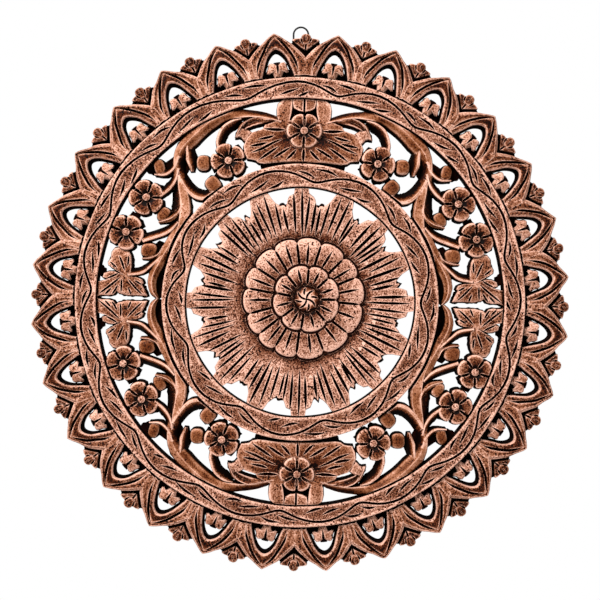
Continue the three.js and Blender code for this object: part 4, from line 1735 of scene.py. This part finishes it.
@dataclass(frozen=True)
class StopCuts:
    """Dark lines where the lower carving meets the walls of the two rings."""

    # Triangles of radius and height that are spun around the board
    triangles: Sequence[Outline] = (
        ((249, 23.5), (254.9, 23.5), (250.3, 12.5)),
        ((230.5, 23.5), (222.9, 23.5), (226.9, 12)),
        ((152.5, 23.5), (158.4, 23.5), (154.3, 12)),
        ((131.5, 23.5), (124.4, 23.5), (128.2, 12)),
    )
    turns: int = 128

    def blanks(self) -> list[Blank]:
        """Spin each triangle around the board.

        Returns:
            The wood that the cuts take away.
        """
        made = []
        for triangle in self.triangles:
            blank = Blank().spin([Stop(radius, 0, height, 0, 1) for radius, height in triangle], self.turns)
            paint(blank.bm.faces, Face.STAIN)
            made.append(blank)
        return made


@dataclass(frozen=True)
class HangingLoop:
    """Bent black wire: a loop above the board, its legs let into grooves in the back."""

    wire: float = 2.0
    middle_x: float = 1.1
    half_width: float = 9.3
    leg_end: float = 262.0
    leg_pin: float = 7.0
    clearance: float = 0.5
    bend: float = 1.6
    sides: int = 12

    def route(self) -> list[Vector]:
        """List the wire's middle line from one buried end to the other, on the board.

        Returns:
            Points as x, y and z.
        """
        depth = self.wire / 2 + self.clearance
        radius = self.half_width - self.wire / 2
        crown = LOOP_TOP - self.wire / 2 - radius
        left, right = self.middle_x - radius, self.middle_x + radius
        leg = [Vector((left, self.leg_end, self.leg_pin)), Vector((left, self.leg_end, depth + self.bend))]
        for step in range(1, 6):
            angle = math.pi / 2 * step / 5
            rise = self.bend * (1 - math.cos(angle))
            leg.append(Vector((left, self.leg_end + rise, depth + self.bend * (1 - math.sin(angle)))))
        arc = []
        for step in range(25):
            angle = math.pi * (1 - step / 24)
            x, y = self.middle_x + math.cos(angle) * radius, crown + math.sin(angle) * radius
            arc.append(Vector((x, y, depth)))
        other = [Vector((right, spot.y, spot.z)) for spot in reversed(leg)]
        return [*leg, *arc, *other]

    def blank(self) -> Blank:
        """Loft the wire along its route.

        Returns:
            The wire.
        """
        spots = self.route()
        sections = []
        side = Vector((1, 0, 0))
        for spot, travel in zip(spots, tangents(spots)):
            side = (side - travel * side.dot(travel)).normalized()
            other = travel.cross(side)
            section = []
            for corner in range(self.sides):
                angle = 2 * math.pi * corner / self.sides
                spoke = side * math.cos(angle) + other * math.sin(angle)
                section.append(Stop(*(spot + spoke * self.wire / 2)))
            sections.append(section)
        return loft(sections, [Face.WORKED], Face.WORKED)

    def slots(self) -> list[Blank]:
        """Make the grooves in the back for the legs, and the holes for their ends.

        Returns:
            The wood that they take away.
        """
        width = self.wire + 2 * self.clearance
        low = self.leg_end - width / 2
        made = []
        for side in (1, -1):
            x = self.middle_x + side * (self.half_width - self.wire / 2)
            for high, depth in ((LOOP_TOP, width), (low + width, self.leg_pin + self.clearance)):
                blank = Blank()
                cube = bmesh.ops.create_cube(blank.bm, size=1)["verts"]
                bmesh.ops.scale(blank.bm, vec=(width, high - low, 2 * depth), verts=cube)
                bmesh.ops.translate(blank.bm, vec=(x, (low + high) / 2, 0), verts=cube)
                paint(blank.bm.faces, Face.WALL)
                made.append(blank)
        return made


@dataclass(frozen=True)
class CopperedWood:
    """Carved wood stained black and rubbed with copper, which is thin in the hollows; painted shade darkens
    its recesses and painted highlights brighten its sharp edges.
    """

    # Tone from the copper that stayed, with painted highlight and shade, and the colour that it gives
    tones: Tones = (
        (0, (0.003, 0.001, 0.0006)),
        (0.16, (0.024, 0.0028, 0.0007)),
        (0.36, (0.096, 0.022, 0.008)),
        (0.56, (0.228, 0.084, 0.043)),
        (0.78, (0.43, 0.202, 0.133)),
        (1, (0.82, 0.47, 0.355)),
    )
    satin_tones: Tones = (
        (0, (0.003, 0.001, 0.0006)),
        (0.16, (0.031, 0.0046, 0.001)),
        (0.36, (0.123, 0.03, 0.008)),
        (0.56, (0.276, 0.094, 0.036)),
        (0.78, (0.5, 0.22, 0.128)),
        (1, (0.86, 0.51, 0.39)),
    )

    def material(self) -> bpy.types.Material:
        """Build the material.

        Returns:
            The material.
        """
        board = Shades("coppered_wood")
        rub_and_highlight, wash_and_shade, satin = (board.trace(name) for name in TRACES)
        grain = board.noise(0.0008, detail=1.0, roughness=0.6)
        patch = board.noise(0.01, detail=2.0, roughness=0.5)
        fleck = board.noise(0.0005, detail=0.0, roughness=0.5)
        pits = board.fit(board.pits(0.0036, 0.25), board.fit(satin, -0.85, 1))
        # Painted shade where the surroundings close in, partly the dark stain left in the recesses
        occlusion_shade = board.ramp(board.occlusion(0.005), 0.8, 0.3)
        raw = board.fit(board.centred(grain, 1), 1, board.centred(fleck, 0.55))
        speckle = board.math("MINIMUM", board.fit(raw, 0.8), board.fit(raw, 2))
        for trace, gain, rest in ((satin, -0.72, 1), (rub_and_highlight, -1, 1.45)):
            speckle = board.fit(speckle, board.fit(trace, gain, rest))
        tone = board.fit(rub_and_highlight, 0.52, 0.44)
        # What lifts or lowers the tone, and how strongly, with painted highlights along sharp edges and
        # painted shade in recesses
        for value, weight in (
            (speckle, 1), (board.centred(patch, 0.55), 1), (wash_and_shade, -0.6), (satin, -0.12),
            (board.rims(0.002), 0.62), (pits, -0.75), (occlusion_shade, -0.75),
        ):
            tone = board.fit(value, weight, tone)
        tone = board.clamp(board.fit(tone, 1.3, -0.19))
        rosy, amber = (board.palette(tone, tones) for tones in (self.tones, self.satin_tones))
        board.colour(board.mix_colour(satin, rosy, amber))
        board.link(board.fit(satin, -0.12, 0.58), board.shader.inputs["Roughness"])
        board.shader.inputs["Specular IOR Level"].default_value = 0.05
        height = board.fit(grain, 0.6, board.fit(fleck, 0.4))
        board.bump(board.fit(pits, -0.8, height), 0.35, 0.0006)
        return board.made


@dataclass(frozen=True)
class Grained:
    """A finish of two shades that a grain mixes."""

    name: str
    dark: Colour
    light: Colour
    # Size, octaves, strength of the finer ones, stretch along x, y and z, and weight of each noise
    grains: Sequence[tuple[float, float, float, Triple, float]]
    spread: tuple[float, float]
    relief: tuple[float, float]
    roughness: float = 0.8
    specular: float = 0.02

    def material(self) -> bpy.types.Material:
        """Build the material.

        Returns:
            The material.
        """
        board = Shades(self.name)
        tone = 0.0
        for size, detail, roughness, stretch, weight in self.grains:
            tone = board.fit(board.noise(size, detail, roughness, stretch), weight, tone)
        board.colour(board.mix_colour(board.ramp(tone, *self.spread), (*self.dark, 1), (*self.light, 1)))
        board.shader.inputs["Roughness"].default_value = self.roughness
        board.shader.inputs["Specular IOR Level"].default_value = self.specular
        board.bump(tone, *self.relief)
        return board.made


# Black stain in the cuts and on the low wood between pieces, where the black also stands for shade
KNIFE_STAIN = Grained(
    "black_stain", (0.0058, 0.0012, 0.0007), (0.016, 0.0026, 0.001), ((0.0016, 2, 0.6, EVEN, 1),),
    (0.45, 0.75), (0.25, 0.0004),
)
# The saw left marks across the board in its stained walls
SAWN_WALL = Grained(
    "sawn_wall", (0.003, 0.0014, 0.0012), (0.012, 0.005, 0.0035), ((0.003, 3, 0.6, (1, 0.25, 1), 1),),
    (0.45, 0.8), (0.4, 0.0006), 0.85,
)
# The flat back is stained brown, with its pores and its grain upright
PLANED_BACK = Grained(
    "planed_back", (0.05, 0.026, 0.015), (0.15, 0.078, 0.042),
    ((0.0012, 2, 0.6, (1, 1, 0.1), 0.25), (0.0065, 5, 0.62, (1, 1, 0.07), 0.75)),
    (0.38, 0.62), (0.3, 0.0005), 0.68, 0.5,
)
# Black paint on steel wire
BLACK_WIRE = Grained(
    "black_wire", (0.004, 0.0037, 0.0037), (0.014, 0.013, 0.012), ((0.0024, 2, 0.6, EVEN, 1),),
    (0.55, 0.8), (0.15, 0.0003), 0.6, 0.2,
)


class Shades:
    """A material under construction, with short names for its nodes."""

    def __init__(self, name: str) -> None:
        """Start a material on Object coordinates.

        Args:
            name: Name of the material.
        """
        self.made = bpy.data.materials.new(name)
        self.made.use_nodes = True
        self.nodes = self.made.node_tree.nodes
        self.nodes.clear()
        self.shader = self.nodes.new("ShaderNodeBsdfPrincipled")
        self.link(self.shader.outputs["BSDF"], self.nodes.new("ShaderNodeOutputMaterial").inputs["Surface"])
        self.place = self.nodes.new("ShaderNodeTexCoord").outputs["Object"]

    def link(self, source: Socket, target: Socket) -> None:
        """Join two sockets."""
        self.made.node_tree.links.new(source, target)

    def node(self, kind: str, inputs: Inputs, output: str | int, **options: object) -> Socket:
        """Add a node.

        Args:
            kind: Its type, without the word ShaderNode.
            inputs: Values of its inputs, or the sockets that feed them.
            output: The output that is wanted.
            options: Its other settings.

        Returns:
            The output.
        """
        made = self.nodes.new("ShaderNode" + kind)
        for option, value in options.items():
            setattr(made, option, value)
        for name, value in inputs.items():
            if isinstance(value, Socket):
                self.link(value, made.inputs[name])
            else:
                made.inputs[name].default_value = value
        return made.outputs[output]

    def trace(self, name: str) -> Socket:
        """Read one layer from the mesh; the layers hold rubbed copper with painted highlight, dark stain with
        painted shade, and satin.
        """
        return self.node("Attribute", {}, "Fac", attribute_name=name)

    def noise(self, size: float, detail: float, roughness: float, stretch: Triple = EVEN) -> Socket:
        """Add a noise whose lumps have a given size.

        Args:
            size: Size of a lump, in metres.
            detail: Octaves.
            roughness: Strength of the finer octaves.
            stretch: Scale of the pattern on each axis.

        Returns:
            The value, around 0.5.
        """
        spot = self.node("Mapping", {"Vector": self.place, "Scale": stretch}, "Vector")
        values = {"Vector": spot, "Scale": 0.5 / size, "Detail": detail, "Roughness": roughness}
        return self.node("TexNoise", values, "Fac")

    def pits(self, pitch: float, size: float) -> Socket:
        """Add small round pits.

        Args:
            pitch: Rough distance between them, in metres.
            size: Share of that distance that a pit takes.

        Returns:
            The value, 1 in a pit.
        """
        away = self.node("TexVoronoi", {"Vector": self.place, "Scale": 1 / pitch}, "Distance")
        here = self.ramp(self.noise(0.006, 1, 0.5), 0.46, 0.56)
        return self.fit(self.ramp(away, size * 1.4, size * 0.7), here)

    def rims(self, reach: float) -> Socket:
        """Find sharp edges.

        Args:
            reach: How far from an edge it is felt, in metres.

        Returns:
            The value, 1 beside an edge.
        """
        rounded = self.node("Bevel", {"Radius": reach}, "Normal", samples=6)
        plain = self.node("NewGeometry", {}, "Normal")
        likeness = self.node("VectorMath", {0: rounded, 1: plain}, "Value", operation="DOT_PRODUCT")
        return self.ramp(likeness, 0.995, 0.82)

    def occlusion(self, distance: float) -> Socket:
        """Read how open a place is to its surroundings."""
        return self.node("AmbientOcclusion", {"Distance": distance}, "AO", samples=8)

    def ramp(self, value: Socket, low: float, high: float) -> Socket:
        """Spread a value over a range from 0 to 1, smoothly where it rises.

        Args:
            value: The value.
            low: What becomes 0.
            high: What becomes 1.

        Returns:
            The spread value.
        """
        curve = "SMOOTHSTEP" if low < high else "LINEAR"
        values = {"Value": value, "From Min": low, "From Max": high}
        return self.node("MapRange", values, 0, interpolation_type=curve)

    def math(self, operation: str, *values: object) -> Socket:
        """Add a Math node."""
        return self.node("Math", dict(enumerate(values)), "Value", operation=operation)

    def fit(self, value: Socket, gain: object, shift: object = 0) -> Socket:
        """Multiply a value and add to it."""
        return self.math("MULTIPLY_ADD", value, gain, shift)

    def centred(self, value: Socket, gain: float) -> Socket:
        """Turn a noise around 0.5 into one around 0, and amplify it."""
        return self.fit(value, gain, -0.5 * gain)

    def palette(self, value: Socket, tones: Tones) -> Socket:
        """Turn a value into a colour.

        Args:
            value: The value, from 0 to 1.
            tones: Places on the way and their colours.

        Returns:
            The colour.
        """
        colour = self.node("ValToRGB", {"Fac": value}, "Color")
        stops = colour.node.color_ramp.elements
        stops.remove(stops[1])
        stops[0].position, stops[0].color = tones[0][0], (*tones[0][1], 1)
        for place, shade in tones[1:]:
            stops.new(place).color = (*shade, 1)
        return colour

    def clamp(self, value: Socket) -> Socket:
        """Keep a value between 0 and 1."""
        return self.node("Clamp", {"Value": value}, "Result")

    def mix_colour(self, share: Socket, first: object, second: object) -> Socket:
        """Mix two colours."""
        return self.node("Mix", {0: share, 6: first, 7: second}, 2, data_type="RGBA")

    def colour(self, value: Socket) -> None:
        """Set the shader's colour."""
        self.link(value, self.shader.inputs["Base Color"])

    def bump(self, height: Socket, strength: float, distance: float) -> None:
        """Add relief that is too fine for the mesh."""
        values = {"Strength": strength, "Distance": distance, "Height": height}
        self.link(self.node("Bump", values, "Normal"), self.shader.inputs["Normal"])


@dataclass(frozen=True)
class CarvedPanel:
    """The whole board."""

    outer_ring: RingBand = RingBand(
        "outer_ring", 226.4, 249.4, 237.9, 6.3,
        (-2, 20, 43.5, 65.5, 88, 109, 130, 151.5, 173, 195.5, 219.5, 241.5, 262, 282, 304.5, 329.5),
    )
    inner_ring: RingBand = RingBand(
        "inner_ring", 127.9, 153.5, 140.8, 7.4,
        (-15.5, 27.7, 68.7, 109.7, 147.7, 187.7, 227.7, 267.7, 301.5), steps=18,
    )
    border: Border = Border()
    sunburst: Sunburst = Sunburst()
    rosette: Rosette = Rosette()
    vine: Vine = Vine()
    fan: Fan = Fan()
    stop_cuts: StopCuts = StopCuts()
    # Which way each copy of the vine and the fan faces, and its shift to the right and up
    quarters: Sequence[tuple[int, int, float, float]] = (
        (1, 1, -1.5, -0.5), (-1, 1, 1.2, -0.7), (-1, -1, 1, 1.8), (1, -1, 0.4, 1.1),
    )
    fans: Sequence[tuple[int, int, float, float]] = ((1, 1, -0.3, -1.8), (1, -1, 0.3, 1.3))

    def spread(self, bench: Bench, pattern: Piece, places: Rows, hand: Hand) -> list[Piece]:
        """Copy a pattern to its places and clear it away.

        Args:
            bench: Where the copies are made.
            pattern: The carved piece.
            places: Which way each copy faces and where it goes.
            hand: Unsteadiness of the first copy.

        Returns:
            The copies.
        """
        copies = []
        for number, (x, y, right, up) in enumerate(places):
            matrix = Matrix.Translation((right, up, 0)) @ Matrix.Diagonal((x, y, 1, 1))
            copies.append(bench.copy(pattern, matrix, replace(hand, seed=hand.seed + number)))
        bpy.data.objects.remove(pattern)
        return copies

    def build(self, bench: Bench, loop: HangingLoop) -> Piece:
        """Carve the board and stand it against the wall.

        Args:
            bench: Where the pieces are made.
            loop: The wire that is let into its back.

        Returns:
            The finished piece.
        """
        dice = random.Random(SEED)
        noise.seed_set(SEED)
        low = self.border.carve(bench, dice)
        low.append(self.sunburst.carve(bench, dice))
        low += self.spread(bench, self.vine.carve(bench), self.quarters, Hand(40, 0.7, 0.5, 30))
        low += self.spread(bench, self.fan.carve(bench, dice), self.fans, Hand(60, 0.7, 0.3, 30))
        lower = bench.work(low[0], low[1:], "UNION")
        lower = bench.work(lower, [bench.object(blank) for blank in self.stop_cuts.blanks()], "DIFFERENCE")
        high = [ring.carve(bench, dice) for ring in (self.outer_ring, self.inner_ring)]
        high.append(self.rosette.carve(bench, dice))
        board = bench.work(lower, high, "UNION")
        self.steady(board.data)
        board.data.transform(Matrix.Rotation(-math.radians(ROLL), 4, "Z"))
        board = bench.work(board, [bench.object(blank) for blank in loop.slots()], "DIFFERENCE")
        mend_traces(board.data)
        self.stand(board)
        board.name = "carved_panel_relief"
        return board

    def steady(self, mesh: Mesh) -> None:
        """Keep every point inside the board that it was carved from.

        Args:
            mesh: The carved board.
        """
        Hand(3, 0.5, 0, 45).waver(mesh)
        for vert in mesh.vertices:
            reach = vert.co.xy.length
            if reach > RADIUS - RIM_PLAY:
                vert.co.xy = vert.co.xy * (RADIUS - RIM_PLAY) / reach
            vert.co.z = min(max(vert.co.z, 0), BOARD)

    @staticmethod
    def stand(piece: Piece) -> None:
        """Turn a piece from the bench to the wall, in metres, and smooth its faces.

        Args:
            piece: The piece.
        """
        upright = Matrix(((MM, 0, 0, 0), (0, 0, -MM, 0), (0, MM, 0, 0), (0, 0, 0, 1)))
        mesh = piece.data
        mesh.transform(upright)
        mesh.polygons.foreach_set("use_smooth", [True] * len(mesh.polygons))
        mesh.set_sharp_from_angle(angle=math.radians(SHARP_ANGLE))
        mesh.update()


@dataclass(frozen=True)
class Studio:
    """Camera, soft light and a plain pale floor."""

    distance: float = 1.2
    camera_height: float = 0.0025
    view_width: float = 0.6632
    floor: float = -0.95
    # Name, place, size in metres and power in watts
    lamps: Sequence[tuple[str, Triple, float, float]] = (
        ("key", (-1.0, -1.6, 1.5), 0.9, 84), ("fill", (1.4, -2.0, -0.2), 1.6, 16),
    )

    def camera(self) -> None:
        """Set the camera straight in front of the board."""
        data = bpy.data.cameras.new("camera")
        data.sensor_width = 36.0
        data.lens = data.sensor_width * self.distance / self.view_width
        camera = self.hang("camera", data, (0, -self.distance - BOARD * MM, self.camera_height))
        camera.rotation_euler = (math.pi / 2, 0, 0)
        bpy.context.scene.camera = camera

    @staticmethod
    def hang(name: str, data: bpy.types.ID, place: Triple) -> Piece:
        """Put a camera, a lamp or a mesh in the studio.

        Args:
            name: Its name.
            data: What it is.
            place: Where it hangs, in metres.

        Returns:
            Its object.
        """
        made = bpy.data.objects.new(name, data)
        made.location = place
        bpy.context.scene.collection.objects.link(made)
        return made

    def lamp(self, name: str, place: Triple, size: float, power: float) -> None:
        """Hang a soft square lamp that points at the board.

        Args:
            name: Its name.
            place: Where it hangs, in metres.
            size: Length of its sides.
            power: Its power in watts.
        """
        data = bpy.data.lights.new(name, "AREA")
        data.shape = "SQUARE"
        data.size = size
        data.energy = power
        self.hang(name, data, place).rotation_euler = (-Vector(place)).to_track_quat("-Z", "Y").to_euler()

    def world(self) -> None:
        """Surround the scene with white that lights it only softly."""
        world = bpy.data.worlds.new("white")
        world.use_nodes = True
        nodes, links = world.node_tree.nodes, world.node_tree.links
        background = nodes["Background"]
        background.inputs["Color"].default_value = (1, 1, 1, 1)
        seen = nodes.new("ShaderNodeLightPath").outputs["Is Camera Ray"]
        strength = nodes.new("ShaderNodeMapRange")
        strength.inputs["To Min"].default_value = 0.3
        strength.inputs["To Max"].default_value = 1.0
        links.new(seen, strength.inputs["Value"])
        links.new(strength.outputs["Result"], background.inputs["Strength"])
        bpy.context.scene.world = world

    def ground(self) -> None:
        """Lay the floor."""
        made = bmesh.new()
        bmesh.ops.create_circle(made, cap_ends=True, segments=96, radius=1.3)
        mesh = bpy.data.meshes.new("floor")
        made.to_mesh(mesh)
        made.free()
        mesh.transform(Matrix.Translation((0, 0, self.floor)))
        board = Shades("pale_floor")
        board.colour(board.mix_colour(board.noise(0.3, 2, 0.5), (0.86, 0.86, 0.86, 1), (0.9, 0.9, 0.9, 1)))
        board.shader.inputs["Roughness"].default_value = 0.8
        mesh.materials.append(board.made)
        floor = self.hang("floor", mesh, (0, 0, 0))
        floor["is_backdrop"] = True

    def build(self) -> None:
        """Set up the whole studio."""
        self.camera()
        self.world()
        self.ground()
        for lamp in self.lamps:
            self.lamp(*lamp)
        bpy.context.scene.view_settings.view_transform = "Standard"


def main() -> None:
    """Build the wall hanging and its studio."""
    logging.basicConfig(level=logging.INFO, format="%(message)s")
    finishes = [CopperedWood(), KNIFE_STAIN, SAWN_WALL, PLANED_BACK]
    bench = Bench([finish.material() for finish in finishes])
    loop = HangingLoop()
    panel = CarvedPanel().build(bench, loop)
    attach(panel, "root")
    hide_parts(PANEL)
    panel.data.calc_loop_triangles()
    log.info("%s: %d triangles", panel.name, len(panel.data.loop_triangles))
    wire = Bench([BLACK_WIRE.material()]).object(loop.blank(), "hanging_loop_wire")
    CarvedPanel.stand(wire)
    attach(wire, "root")
    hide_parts(LOOP)
    log.info("%s: bent wire", wire.name)
    Studio().build()
    boxes = {"cad": CAD_BOX, "visual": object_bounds()}
    {name: [list(corner) for corner in box] for name, box in boxes.items()}


if __name__ == "__main__":
    main()
